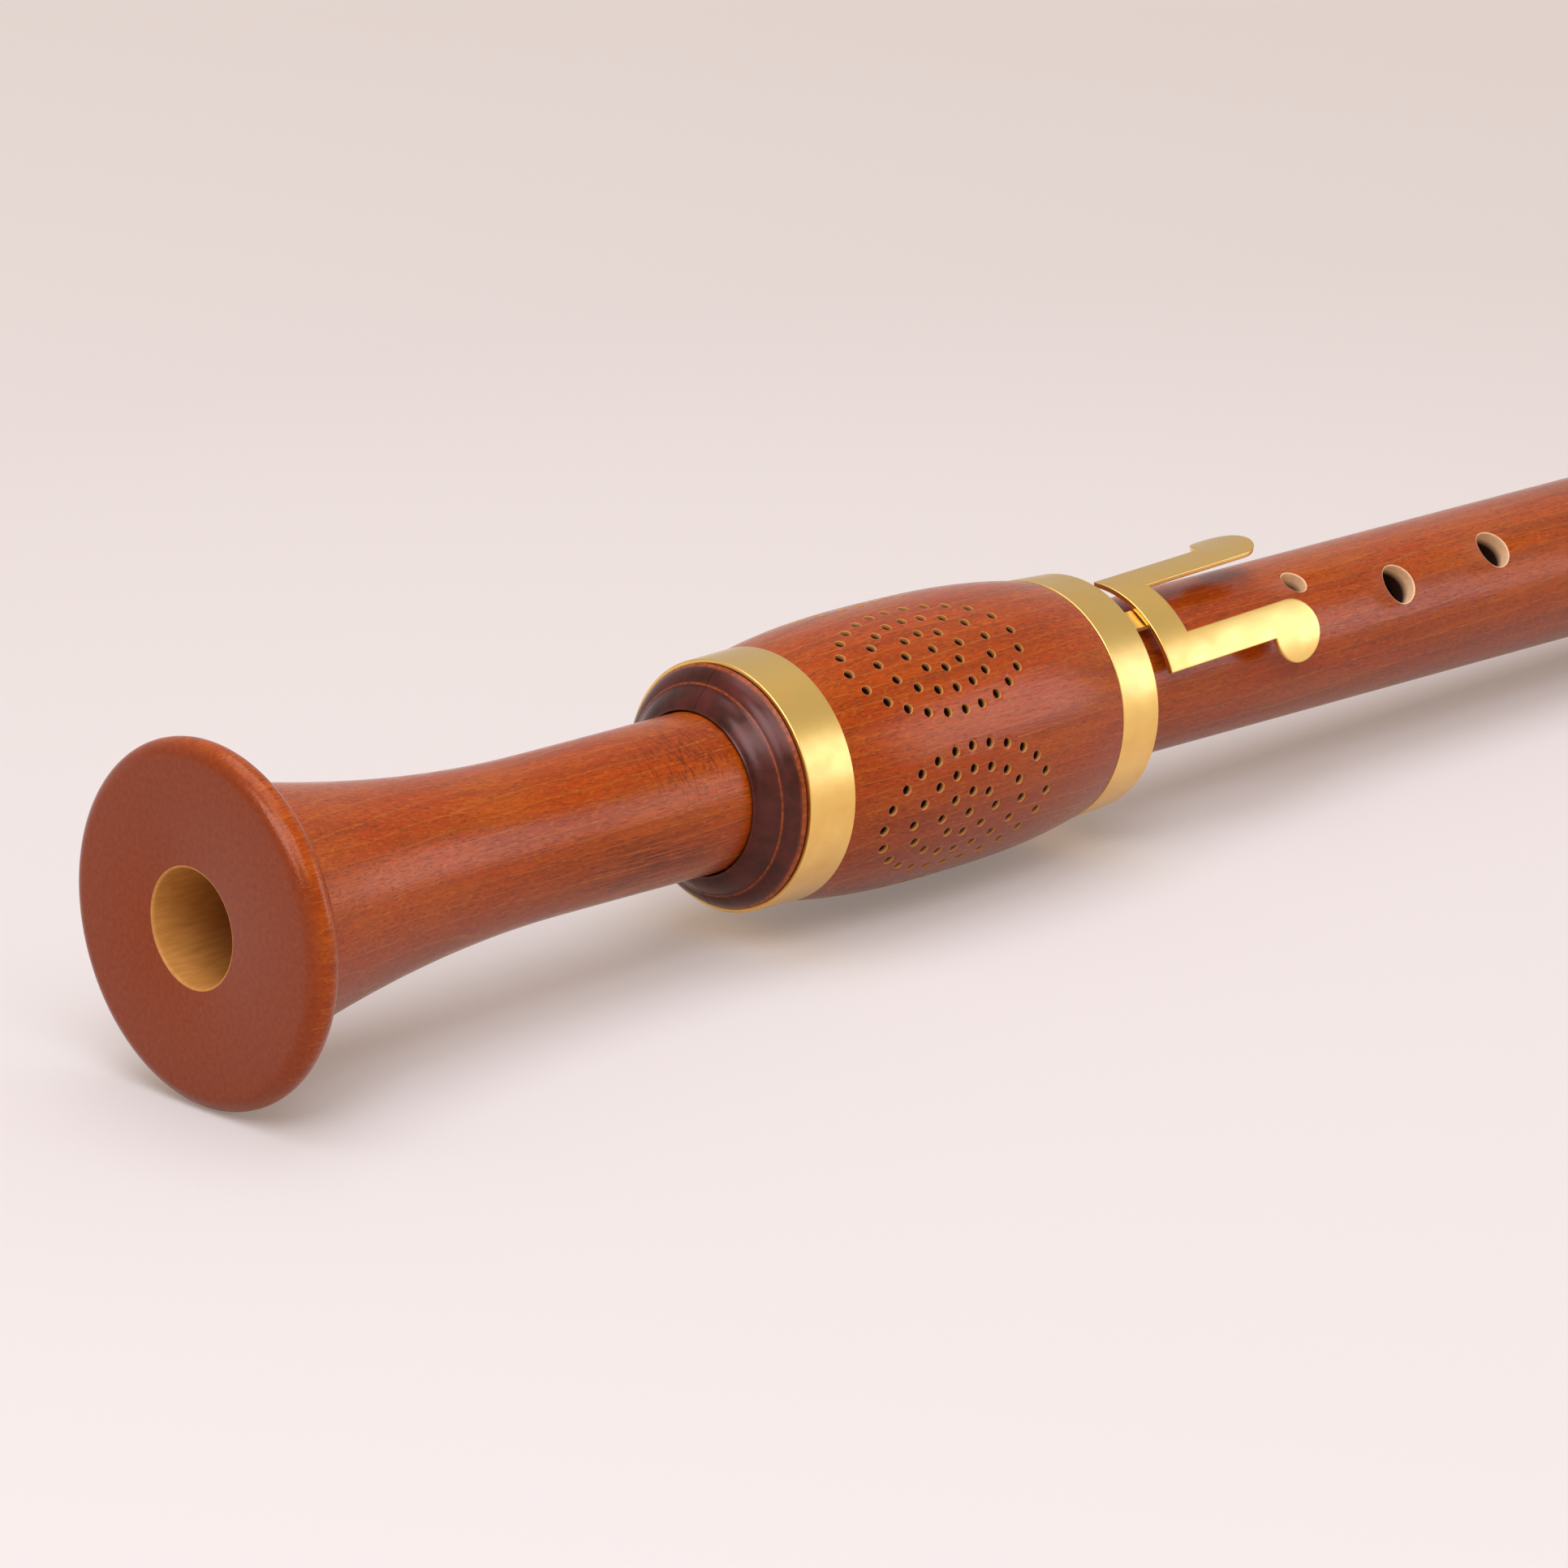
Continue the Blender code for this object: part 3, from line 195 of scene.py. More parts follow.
# Rosettes: ovals of drilled holes round a middle hole
ROSETTE_STATION = 190.0
ROSETTE_COUNT = 5
ROSETTE_LONG_STEP = 8.3
ROSETTE_SHORT_STEP = 5.07
ROSETTE_OVALS = (8, 16, 24)
ROSETTE_DRILL_START = 22.0
DRILL_RADIUS = 1.12
DRILL_EDGE = 0.16

# Touch
SHEET = 1.3
TOUCH_INNER_RADIUS = 21.28
TOUCH_BEND_RADIUS = 23.35
TOUCH_RISE = 4.3
TOUCH_FOOT_EDGE = 263.6
TOUCH_BAR_WIDTH = 9.1
TOUCH_HALF_WIDTH = 15.2
LOBE_STATION = 305.9
LOBE_RADIUS = 7.4
LOBE_OFFSET = 14.8
TOUCH_STRIPS = 64
TOUCH_EDGE = 0.22
TOUCH_FLAT_FROM_EDGE = 0.3

# Head
HEAD_START = 700.3
HEAD_END = 950.3
HEAD_BORE = 13.5
HEAD_RADIUS = 21.6
HEAD_WAIST = 21.2
HEAD_WAIST_LENGTH = 86.0
HEAD_END_ROUND = 2.5
UNDER_HEAD_END = 10.0
UNDER_LABIUM = 5.0
SOCKET_RADIUS = 22.9
SOCKET_BORE = 18.9
SOCKET_END = 730.0
SOCKET_RING_END = 710.3
SOCKET_RING_RADII = (SOCKET_RADIUS, SOCKET_RADIUS)
SOCKET_SWELL_LENGTH = 42.0
WINDOW_STATION = 870.0
WINDOW_HALF_WIDTH = 6.8
WINDOW_FLOOR = 7.0
WINDOW_CUTTER_ABOVE = 5.0
BLOCK_START = 876.0
BLOCK_GAP = 0.32
WINDWAY_HEIGHT = 1.3
LABIUM_LENGTH = 32.0
LABIUM_EDGE = 0.5
BEAK_CUT_RADIUS = 75.0
BEAK_CUT_LENGTH = 44.0
BEAK_CUTTER_HALF = 30.0
BEAK_TIP_THICKNESS = 15.0
CORK_START = 704.0
CORK_END = 724.0
CORK_INSIDE = 17.75
CORK_OUTSIDE = 18.65
CORK_EDGE = 0.3

# The camera stands about a metre from the bell, on the side of the holes, and looks down along the
# instrument. From here on places are in metres on the table and angles are in degrees.
CAMERA_PLACE = (-1.0764, -0.7477, 0.3543)
CAMERA_PITCH = -16.83
CAMERA_HEADING = 44.37
CAMERA_LENS = 119.9

# Lamps: name, place, what it faces, width and height, power in watts, and colour
SOFTBOXES = (
    ("high_softbox", (-0.38, 0.12, 1.6), (-0.36, 0.0, 0.0), (1.4, 1.2), 14.0, "#E8F1FF"),
    ("camera_softbox", (-1.1, -1.0, 1.5), (-0.2, 0.0, 0.0), (1.2, 1.0), 17.5, "#E8F1FF"),
)
GLOSS_CARDS = (
    ("front_card", (0.43, -0.68, 0.29), (-0.3, 0.0, 0.05), (0.5, 0.5), 2.4, "#CFDEFF"),
    ("left_card", (-1.3, -0.15, 0.68), (-0.47, 0.0, 0.04), (0.6, 0.6), 8.0, "#E4ECFF"),
)

# The room's strength for the light that it sheds and for what is seen of it
ROOM_SHED = 0.52
ROOM_SEEN = 0.58

# Half the table's width, its glow for the eye near the middle and far off, and the distances from the
# middle between which the one glow turns into the other
TABLE_HALF = 6.0
GLOW_NEAR, GLOW_FAR = 0.2, 0.6
GLOW_START, GLOW_END = 0.5, 3.0


def round_the_bore(station, radius, degrees):
    angle = math.radians(degrees)
    return Vector((station, -radius * math.sin(angle), radius * math.cos(angle)))


def stem_radius(station):
    """The trumpet flare from the bell to the waist, a gentle swell, then the long straight taper."""
    if station < WAIST_STATION:
        share = 1.0 - station / WAIST_STATION
        return WAIST_RADIUS + (BELL_THROAT_RADIUS - WAIST_RADIUS) * share ** BELL_FLARE_POWER
    if station < SWELL_START:
        share = (station - WAIST_STATION) / (SWELL_START - WAIST_STATION)
        return WAIST_RADIUS + (TUBE_RADIUS_AT_KEY - WAIST_RADIUS) * share ** SWELL_POWER
    share = (station - SWELL_START) / (SHOULDER - SWELL_START)
    return TUBE_RADIUS_AT_KEY + (TUBE_RADIUS_AT_TOP - TUBE_RADIUS_AT_KEY) * share


def bore_radius(station):
    """Widens from the choke towards the foot, and as a straight cone towards the head."""
    if station < BORE_CHOKE_STATION:
        share = 1.0 - station / BORE_CHOKE_STATION
        return BORE_CHOKE_RADIUS + (BORE_FOOT_RADIUS - BORE_CHOKE_RADIUS) * share ** BORE_FLARE_POWER
    share = min((station - BORE_CHOKE_STATION) / (BORE_CONE_END - BORE_CHOKE_STATION), 1.0)
    return BORE_CHOKE_RADIUS + (BORE_TOP_RADIUS - BORE_CHOKE_RADIUS) * share


def barrel_radius(station):
    """The belly of the fontanelle, flush with its rings at both ends."""
    share = (station - LOWER_RING_END) / (UPPER_RING_START - LOWER_RING_END)
    share = min(max(share, 0.0), 1.0)
    return BARREL_FLUSH + BARREL_BULGE * (1.0 - abs(2.0 * share - 1.0) ** BARREL_BULGE_POWER)


def arc(centre, radius, start, end, count):
    """Points on a round stretch from one angle to another, both included, in degrees."""
    points = []
    for index in range(count + 1):
        angle = math.radians(start + (end - start) * index / count)
        points.append((centre[0] + radius * math.cos(angle), centre[1] + radius * math.sin(angle)))
    return points


def swelling_arc(start, end, radius, count):
    """Points on an arc, both ends included, that swells away from the bore on its way footward."""
    start, end = Vector(start), Vector(end)
    half = (end - start) / 2
    inward = Vector((-half.y, half.x)).normalized()
    centre = start + half + inward * math.sqrt(radius ** 2 - half.length_squared)
    first, last = (math.degrees(math.atan2(point.y - centre.y, point.x - centre.x)) for point in (start, end))
    return arc(centre, radius, first, last, count)


def spread(first, last, count):
    """Evenly spaced values from the first to the last, both included."""
    return [first + (last - first) * index / count for index in range(count + 1)]


# Materials


def linear(hex_colour):
    """An sRGB hex value as the linear colour that shaders take."""
    values = [int(hex_colour[place:place + 2], 16) / 255 for place in (1, 3, 5)]
    return tuple(v / 12.92 if v <= 0.04045 else ((v + 0.055) / 1.055) ** 2.4 for v in values) + (1.0,)


def add(tree, kind, links=None, give=0, **settings):
    """Adds a node with its settings and links, and gives one of its outputs, by name or number.

    Each link sets an input, by name or number, to a value or to another node's output.
    """
    node = tree.nodes.new(kind)
    for name, value in settings.items():
        setattr(node, name, value)
    for name, value in (links or {}).items():
        if isinstance(value, bpy.types.NodeSocket):
            tree.links.new(value, node.inputs[name])
        else:
            node.inputs[name].default_value = value
    return node.outputs[give]


def new_material(name):
    material = bpy.data.materials.new(name)
    material.use_nodes = True
    tree = material.node_tree
    return material, tree, tree.nodes["Principled BSDF"]


def bore_place(tree):
    """A point's place in the bore frame, in metres, which every grain and pattern follows."""
    place = tree.nodes.get("bore place")
    if place:
        return place.outputs[0]
    where = add(tree, "ShaderNodeTexCoord", give="Object")
    links = {"Vector": where, "Location": BORE.to_translation(), "Rotation": BORE.to_euler()}
    return add(tree, "ShaderNodeMapping", links, vector_type="TEXTURE", name="bore place")


def distance_from_axis(tree, place):
    """How far a place lies from the line along X, in metres."""
    flat = add(tree, "ShaderNodeVectorMath", {0: place, 1: (0.0, 1.0, 1.0)}, operation="MULTIPLY")
    return add(tree, "ShaderNodeVectorMath", {0: flat}, give="Value", operation="LENGTH")


def grain(tree, along, across, detail=2.0, place=(0.0, 0.0, 0.0)):
    """Noise whose features are so many millimetres long along the bore and so many across it."""
    scale = (1.0 / (along * MM), 1.0 / (across * MM), 1.0 / (across * MM))
    mapped = add(tree, "ShaderNodeMapping", {"Vector": bore_place(tree), "Scale": scale, "Location": place})
    return add(tree, "ShaderNodeTexNoise", {"Vector": mapped, "Scale": 1.0, "Detail": detail}, give="Fac")


def marks(tree, low, high, along, across, detail=2.0, place=(0.0, 0.0, 0.0)):
    """Marks so many millimetres long and wide: 0 where the grain's noise is under low, 1 where over high."""
    noise = grain(tree, along, across, detail, place)
    return add(tree, "ShaderNodeMapRange", {"Value": noise, "From Min": low, "From Max": high})


def growth_rings(tree, heart, tilt, ring_width, waviness):
    """Year rings round the heart of the tree, which lies beside the bore: 0 in early wood, 1 in late."""
    place = add(tree, "ShaderNodeMapping", {"Vector": bore_place(tree), "Location": heart, "Rotation": tilt})
    distance = distance_from_axis(tree, place)
    years = add(tree, "ShaderNodeMath", {0: distance, 1: 1.0 / (ring_width * MM)}, operation="MULTIPLY")
    noise = grain(tree, 70.0, 14.0)
    waves = add(tree, "ShaderNodeMath", {0: noise, 1: waviness}, operation="MULTIPLY")
    turns = add(tree, "ShaderNodeMath", {0: years, 1: waves}, operation="ADD")
    share = add(tree, "ShaderNodeMath", {0: turns}, operation="FRACT")
    return add(tree, "ShaderNodeMath", {0: share, 1: 2.5}, operation="POWER")


def patch(tree, station, degrees, radius, length, width):
    """1 in the middle of an oval area of a turned surface, and 0 at its edge and beyond."""
    middle = round_the_bore(station, radius, degrees) * MM
    apart = add(tree, "ShaderNodeVectorMath", {0: bore_place(tree), 1: middle}, operation="SUBTRACT")
    scale = (2.0 / (length * MM), 2.0 / (width * MM), 2.0 / (width * MM))
    shares = add(tree, "ShaderNodeVectorMath", {0: apart, 1: scale}, operation="MULTIPLY")
    reach = add(tree, "ShaderNodeVectorMath", {0: shares}, give="Value", operation="LENGTH")
    return add(tree, "ShaderNodeMapRange", {"Value": reach, "From Min": 1.0, "From Max": 0.3})


def wash(tree, colour, share, strength, second):
    """Washes a second colour over a colour where share is above 0, at a strength up to 1."""
    amount = add(tree, "ShaderNodeMath", {0: share, 1: strength}, operation="MULTIPLY")
    return add(tree, "ShaderNodeMix", {0: amount, 6: colour, 7: second}, give=2, data_type="RGBA")


def stained_pearwood():
    """Turned pearwood, stained red-brown and oiled: dark pores, faint year lines, cloudy stain, soft gloss.

    Cut ends drink more stain and turn darker, and the underside is painted darker as painted shade. The gloss is
    warm, because the stained fibres under the oil gleam in their own colour.
    """
    material, tree, shader = new_material("stained_pearwood")
    clouds = marks(tree, 0.38, 0.62, along=40.0, across=10.0, detail=3.0)
    colour = wash(tree, linear("#B24200"), clouds, 1.0, linear("#B85310"))
    bright = patch(tree, 196.0, 36.0, 30.0, length=74.0, width=36.0)
    colour = wash(tree, colour, bright, 0.6, linear("#B84A02"))
    figure = marks(tree, 0.48, 0.68, along=80.0, across=4.5, detail=5.0, place=(1.0, 6.0, 2.0))
    colour = wash(tree, colour, figure, 0.5, linear("#86320A"))
    # Painted shade: the wood is washed darker towards the underside, below the bore.
    height = add(tree, "ShaderNodeSeparateXYZ", {0: bore_place(tree)}, give="Z")
    low_side = {"Value": height, "From Min": 2.0 * MM, "From Max": -16.0 * MM}
    painted_underside_shade = add(tree, "ShaderNodeMapRange", low_side)
    colour = wash(tree, colour, painted_underside_shade, 0.55, linear("#84320C"))
    rings = growth_rings(tree, (0.0, 0.052, 0.085), (0.0, 0.035, 0.02), ring_width=3.1, waviness=1.6)
    colour = wash(tree, colour, rings, 0.25, linear("#7C2D08"))
    pale_line = add(tree, "ShaderNodeMapRange", {"Value": rings, "From Min": 0.70, "From Max": 0.95})
    colour = wash(tree, colour, pale_line, 0.28, linear("#DC8632"))
    fibres = marks(tree, 0.42, 0.62, along=9.0, across=0.6, detail=4.0)
    colour = wash(tree, colour, fibres, 0.28, linear("#7A2A08"))
    flecks = marks(tree, 0.54, 0.68, along=1.6, across=0.5, place=(2.0, 8.0, 3.0))
    colour = wash(tree, colour, flecks, 0.24, linear("#D67E2C"))
    # Where the grain runs out at the surface, by the collar, short dark marks lie across it
    curl = marks(tree, 0.5, 0.62, along=0.7, across=2.6, place=(3.0, 1.0, 7.0))
    by_collar = patch(tree, 122.0, 42.0, 17.4, length=40.0, width=25.0)
    curl = add(tree, "ShaderNodeMath", {0: curl, 1: by_collar}, operation="MULTIPLY")
    colour = wash(tree, colour, curl, 0.6, linear("#5E2208"))
    knot = patch(tree, 107.0, 112.0, 17.2, length=46.0, width=15.0)
    knot = add(tree, "ShaderNodeMath", {0: knot, 1: fibres}, operation="MULTIPLY")
    colour = wash(tree, colour, knot, 0.95, linear("#54200A"))
    # Pores are about 0.05 mm wide. They are drawn 0.35 mm wide, so that they show.
    pores = marks(tree, 0.57, 0.67, along=2.4, across=0.35, detail=1.0, place=(9.0, 4.0, 7.0))
    colour = wash(tree, colour, pores, 0.42, linear("#521C06"))

    normal = add(tree, "ShaderNodeTexCoord", give="Normal")
    along_bore = {0: normal, 1: BORE_AXIS}
    facing = add(tree, "ShaderNodeVectorMath", along_bore, give="Value", operation="DOT_PRODUCT")
    facing = add(tree, "ShaderNodeMath", {0: facing}, operation="ABSOLUTE")
    end_grain = add(tree, "ShaderNodeMapRange", {"Value": facing, "From Min": 0.3, "From Max": 0.85})
    speckle = marks(tree, 0.35, 0.65, along=1.5, across=1.1, detail=3.0, place=(4.0, 4.0, 1.0))
    stain = wash(tree, linear("#8A3614"), speckle, 1.0, linear("#96401C"))
    colour = wash(tree, colour, end_grain, 0.92, stain)
    tree.links.new(colour, shader.inputs["Base Color"])

    polish = {"Value": grain(tree, 5.0, 1.2), "From Min": 0.3, "From Max": 0.7,
              "To Min": 0.17, "To Max": 0.25}
    tree.links.new(add(tree, "ShaderNodeMapRange", polish), shader.inputs["Roughness"])
    shader.inputs["IOR"].default_value = 1.45
    shader.inputs["Specular IOR Level"].default_value = 0.5
    shader.inputs["Specular Tint"].default_value = linear("#FFC8A8")
    relief = add(tree, "ShaderNodeMath", {0: fibres, 1: pores}, operation="ADD")
    dents = {"Height": relief, "Strength": 0.4, "Distance": 0.03 * MM}
    tree.links.new(add(tree, "ShaderNodeBump", dents, invert=True), shader.inputs["Normal"])
    return material


def unstained(name, pale, tan, depth_shade):
    """Cut pearwood without stain: dull, warm and faintly streaked, and painted dark brown where it lies deep, as
    painted shade.
    """
    material, tree, shader = new_material(name)
    fibres = marks(tree, 0.3, 0.7, along=6.0, across=0.9, detail=4.0)
    colour = wash(tree, linear(pale), fibres, 1.0, linear(tan))
    # Painted shade: the wood is washed dark brown where it lies deep in the bore and holes.
    colour = wash(tree, colour, depth_shade(tree), 1.0, linear("#32150A"))
    tree.links.new(colour, shader.inputs["Base Color"])
    shader.inputs["Roughness"].default_value = 0.6
    shader.inputs["Specular IOR Level"].default_value = 0.3
    ridges = {"Height": fibres, "Strength": 0.2, "Distance": 0.04 * MM}
    tree.links.new(add(tree, "ShaderNodeBump", ridges), shader.inputs["Normal"])
    return material


def bare_pearwood():
    """The bore, bored and oiled: yellow-brown at the foot, with painted shade that darkens it further in."""
    def depth_shade(tree):
        station = add(tree, "ShaderNodeSeparateXYZ", {0: bore_place(tree)}, give="X")
        inwards = {"Value": station, "From Min": 8.0 * MM, "From Max": 55.0 * MM}
        return add(tree, "ShaderNodeMapRange", inwards)
    return unstained("bare_pearwood", "#DE9E50", "#C88A3E", depth_shade)


def hole_pearwood():
    """The finger holes' walls: pale under the tube's surface, with painted shade that turns them brown near the
    bore.
    """
    def depth_shade(tree):
        radius = distance_from_axis(tree, bore_place(tree))
        inwards = {"Value": radius, "From Min": 16.6 * MM, "From Max": 14.6 * MM}
        return add(tree, "ShaderNodeMapRange", inwards)
    return unstained("hole_pearwood", "#FAD2A6", "#EEC092", depth_shade)


def drilled_pearwood():
    """The rosettes' drill holes: pale for the first millimetre under the barrel's surface, then painted brown as
    painted shade.
    """
    def depth_shade(tree):
        station = add(tree, "ShaderNodeSeparateXYZ", {0: bore_place(tree)}, give="X")
        along = {"Value": station, "From Min": LOWER_RING_END * MM, "From Max": UPPER_RING_START * MM,
                 "To Min": -1.0, "To Max": 1.0}
        share = add(tree, "ShaderNodeMath", {0: add(tree, "ShaderNodeMapRange", along)}, operation="ABSOLUTE")
        fall = add(tree, "ShaderNodeMath", {0: share, 1: BARREL_BULGE_POWER}, operation="POWER")
        belly = {"Value": fall, "To Min": (BARREL_FLUSH + BARREL_BULGE) * MM, "To Max": BARREL_FLUSH * MM}
        surface = add(tree, "ShaderNodeMapRange", belly)
        radius = distance_from_axis(tree, bore_place(tree))
        depth = add(tree, "ShaderNodeMath", {0: surface, 1: radius}, operation="SUBTRACT")
        return add(tree, "ShaderNodeMapRange", {"Value": depth, "From Min": 0.4 * MM, "From Max": 1.1 * MM})
    return unstained("drilled_pearwood", "#DFA05A", "#CC8A44", depth_shade)


def dark_pearwood():
    """Turned pearwood under a dark maroon stain and polish, rubbed through to red on its sharp edges."""
    material, tree, shader = new_material("dark_pearwood")
    clouds = marks(tree, 0.35, 0.68, along=6.0, across=5.0, detail=4.0)
    colour = wash(tree, linear("#3A150C"), clouds, 1.0, linear("#5A221C"))
    wear = add(tree, "ShaderNodeAttribute", give="Fac", attribute_name="wear")
    patchy = {"Value": marks(tree, 0.35, 0.65, along=1.6, across=1.1, detail=4.0), "To Min": 0.35}
    ragged = add(tree, "ShaderNodeMapRange", patchy)
    worn = add(tree, "ShaderNodeMath", {0: wear, 1: ragged}, operation="MULTIPLY")
    colour = wash(tree, colour, worn, 0.95, linear("#B4561E"))
    tree.links.new(colour, shader.inputs["Base Color"])
    polish = {"Value": clouds, "To Min": 0.24, "To Max": 0.32}
    tree.links.new(add(tree, "ShaderNodeMapRange", polish), shader.inputs["Roughness"])
    shader.inputs["IOR"].default_value = 1.45
    shader.inputs["Specular Tint"].default_value = linear("#FFD4C6")
    return material


def satin_brass():
    """Turned brass sheet, rubbed satin and lacquered.

    Faint handling clouds and fine turning lines soften its warm yellow, and the lacquer makes its gleams
    paler.
    """
    material, tree, shader = new_material("satin_brass")
    clouds = marks(tree, 0.35, 0.7, along=7.0, across=6.0, detail=4.0)
    colour = wash(tree, linear("#F6C96C"), clouds, 1.0, linear("#EEBC5E"))
    tree.links.new(colour, shader.inputs["Base Color"])
    shader.inputs["Metallic"].default_value = 1.0
    rubbing = {"Value": clouds, "To Min": 0.34, "To Max": 0.42}
    tree.links.new(add(tree, "ShaderNodeMapRange", rubbing), shader.inputs["Roughness"])
    shader.inputs["Coat Weight"].default_value = 0.6
    shader.inputs["Coat Roughness"].default_value = 0.2
    lines = {"Height": grain(tree, 0.4, 9.0), "Strength": 0.05, "Distance": 0.01 * MM}
    tree.links.new(add(tree, "ShaderNodeBump", lines), shader.inputs["Normal"])
    return material


def drawn_steel():
    """Drawn steel wire and sprung leaf, grey with faint lines along its length."""
    material, tree, shader = new_material("drawn_steel")
    lines = marks(tree, 0.35, 0.65, along=4.0, across=0.3)
    colour = wash(tree, linear("#B4B4B6"), lines, 1.0, linear("#98989C"))
    tree.links.new(colour, shader.inputs["Base Color"])
    shader.inputs["Metallic"].default_value = 1.0
    shader.inputs["Roughness"].default_value = 0.3
    return material


def pad_leather():
    """Soft undyed leather with a fine pebbled grain."""
    material, tree, shader = new_material("pad_leather")
    pebbles = grain(tree, 0.5, 0.5, detail=3.0)
    colour = wash(tree, linear("#C8AE8C"), pebbles, 1.0, linear("#A98A66"))
    tree.links.new(colour, shader.inputs["Base Color"])
    shader.inputs["Roughness"].default_value = 0.8
    relief = {"Height": pebbles, "Strength": 0.4, "Distance": 0.1 * MM}
    tree.links.new(add(tree, "ShaderNodeBump", relief), shader.inputs["Normal"])
    return material


def sanded_cork():
    """Sheet cork, sanded round and greased: tan with dark flecks and small pits."""
    material, tree, shader = new_material("sanded_cork")
    flecks = marks(tree, 0.55, 0.68, along=1.2, across=1.2, detail=4.0)
    cells = grain(tree, 0.6, 0.6, detail=3.0, place=(5.0, 5.0, 5.0))
    colour = wash(tree, linear("#C79A66"), cells, 1.0, linear("#A87846"))
    colour = wash(tree, colour, flecks, 1.0, linear("#6A4324"))
    tree.links.new(colour, shader.inputs["Base Color"])
    shader.inputs["Roughness"].default_value = 0.78
    pits = {"Height": flecks, "Strength": 0.4, "Distance": 0.15 * MM}
    tree.links.new(add(tree, "ShaderNodeBump", pits, invert=True), shader.inputs["Normal"])
    return material


def planed_cedar():
    """Planed pencil cedar with straight reddish grain and no finish."""
    material, tree, shader = new_material("planed_cedar")
    rings = growth_rings(tree, (0.0, 0.03, 0.05), (0.0, 0.02, 0.0), ring_width=1.8, waviness=0.6)
    colour = wash(tree, linear("#C98B62"), rings, 1.0, linear("#A9623E"))
    fibres = marks(tree, 0.4, 0.65, along=14.0, across=0.5, detail=3.0)
    colour = wash(tree, colour, fibres, 0.3, linear("#8F4C2E"))
    tree.links.new(colour, shader.inputs["Base Color"])
    shader.inputs["Roughness"].default_value = 0.62
    return material


# Shapes


def shade(mesh):
    """Smooth shading, with sharp edges where the faces turn by more than the sharp angle."""
    mesh.shade_smooth()
    mesh.set_sharp_from_angle(angle=math.radians(SHARP_ANGLE))


def finished(name, bm, materials):
    """Makes a smooth shaded object, at its place on the table, from a bmesh in the bore frame."""
    bmesh.ops.transform(bm, matrix=BORE @ Matrix.Diagonal((MM, MM, MM, 1.0)), verts=bm.verts)
    mesh = bpy.data.meshes.new(name)
    bm.to_mesh(mesh)
    bm.free()
    piece = bpy.data.objects.new(name, mesh)
    bpy.context.scene.collection.objects.link(piece)
    for material in materials:
        mesh.materials.append(material)
    shade(mesh)
    return piece


def lathe(runs, start=0.0, end=360.0, steps=ROUND, wear=None):
    """Turns runs of (station, radius) points, each with its material's number, as one closed profile.

    The profile goes outside from head to foot and back along the bore. A part turn gets flat ends. wear gives
    the share of rubbing for the numbers of the points whose edge is rubbed.
    """
    points = [point for run, _ in runs for point in run]
    numbers = [number for run, number in runs for _ in run]
    whole = end - start >= 360.0
    bm = bmesh.new()
    worn = bm.verts.layers.float.new("wear")
    columns = []
    for step in range(steps if whole else steps + 1):
        degrees = start + (end - start) * step / steps
        columns.append([bm.verts.new(round_the_bore(s, r, degrees)) for s, r in points])
        for place, share in (wear or {}).items():
            columns[-1][place][worn] = share
    count = len(points)
    for index in range(steps):
        near, far = columns[index], columns[(index + 1) % len(columns)]
        for row in range(count):
            after = (row + 1) % count
            face = bm.faces.new((near[row], far[row], far[after], near[after]))
            face.material_index = numbers[after] if after else numbers[row]
    if not whole:
        bm.faces.new(columns[0])
        bm.faces.new(list(reversed(columns[-1])))
    bmesh.ops.recalc_face_normals(bm, faces=bm.faces)
    return bm


def drilled(bm, station, degrees, radius, edge, surface, floor, number, sides):
    """Adds one drill, from floor outwards, with a rounded mouth that follows the turned surface round it."""
    rings = [(radius, None)]
    for alpha in spread(0.0, MOUTH_ANGLE, MOUTH_STEPS):
        turn = math.radians(alpha)
        rings.append((radius + edge * (1.0 - math.cos(turn)), edge * (1.0 - math.sin(turn))))
    rise = max(3.0 * edge, MOUTH_RISE)
    last_radius, last_depth = rings[-1]
    rings.append((last_radius + rise * math.tan(math.radians(MOUTH_ANGLE)), last_depth - rise))
    turn = Matrix.Rotation(math.radians(degrees), 4, "X")
    loops = []
    for reach, depth in rings:
        loop = []
        for side in range(sides):
            phi = 2.0 * math.pi * side / sides
            along = reach * math.cos(phi)
            across = reach * math.sin(phi)
            if depth is None:
                height = floor
            else:
                height = math.sqrt(surface(station + along) ** 2 - across ** 2) - depth
            loop.append(bm.verts.new(turn @ Vector((station + along, across, height))))
        loops.append(loop)
    for low, high in zip(loops, loops[1:]):
        for side in range(sides):
            after = (side + 1) % sides
            bm.faces.new((low[side], low[after], high[after], high[side])).material_index = number
    bm.faces.new(list(reversed(loops[0]))).material_index = number
    centre = bm.verts.new(sum((vert.co for vert in loops[-1]), Vector()) / sides)
    for side in range(sides):
        bm.faces.new((loops[-1][side], loops[-1][(side + 1) % sides], centre)).material_index = number


def carved(piece, cutters):
    """Cuts the cutters out of a piece for good. The cut faces keep the cutter's material number."""
    for cutter in cutters:
        boolean = piece.modifiers.new(cutter.name, "BOOLEAN")
        boolean.operation = "DIFFERENCE"
        boolean.solver = "EXACT"
        boolean.material_mode = "INDEX"
        boolean.object = cutter
    bpy.context.view_layer.update()
    mesh = bpy.data.meshes.new_from_object(piece.evaluated_get(bpy.context.evaluated_depsgraph_get()))
    piece.modifiers.clear()
    piece.data = mesh
    shade(mesh)
    for cutter in cutters:
        bpy.data.objects.remove(cutter, do_unlink=True)


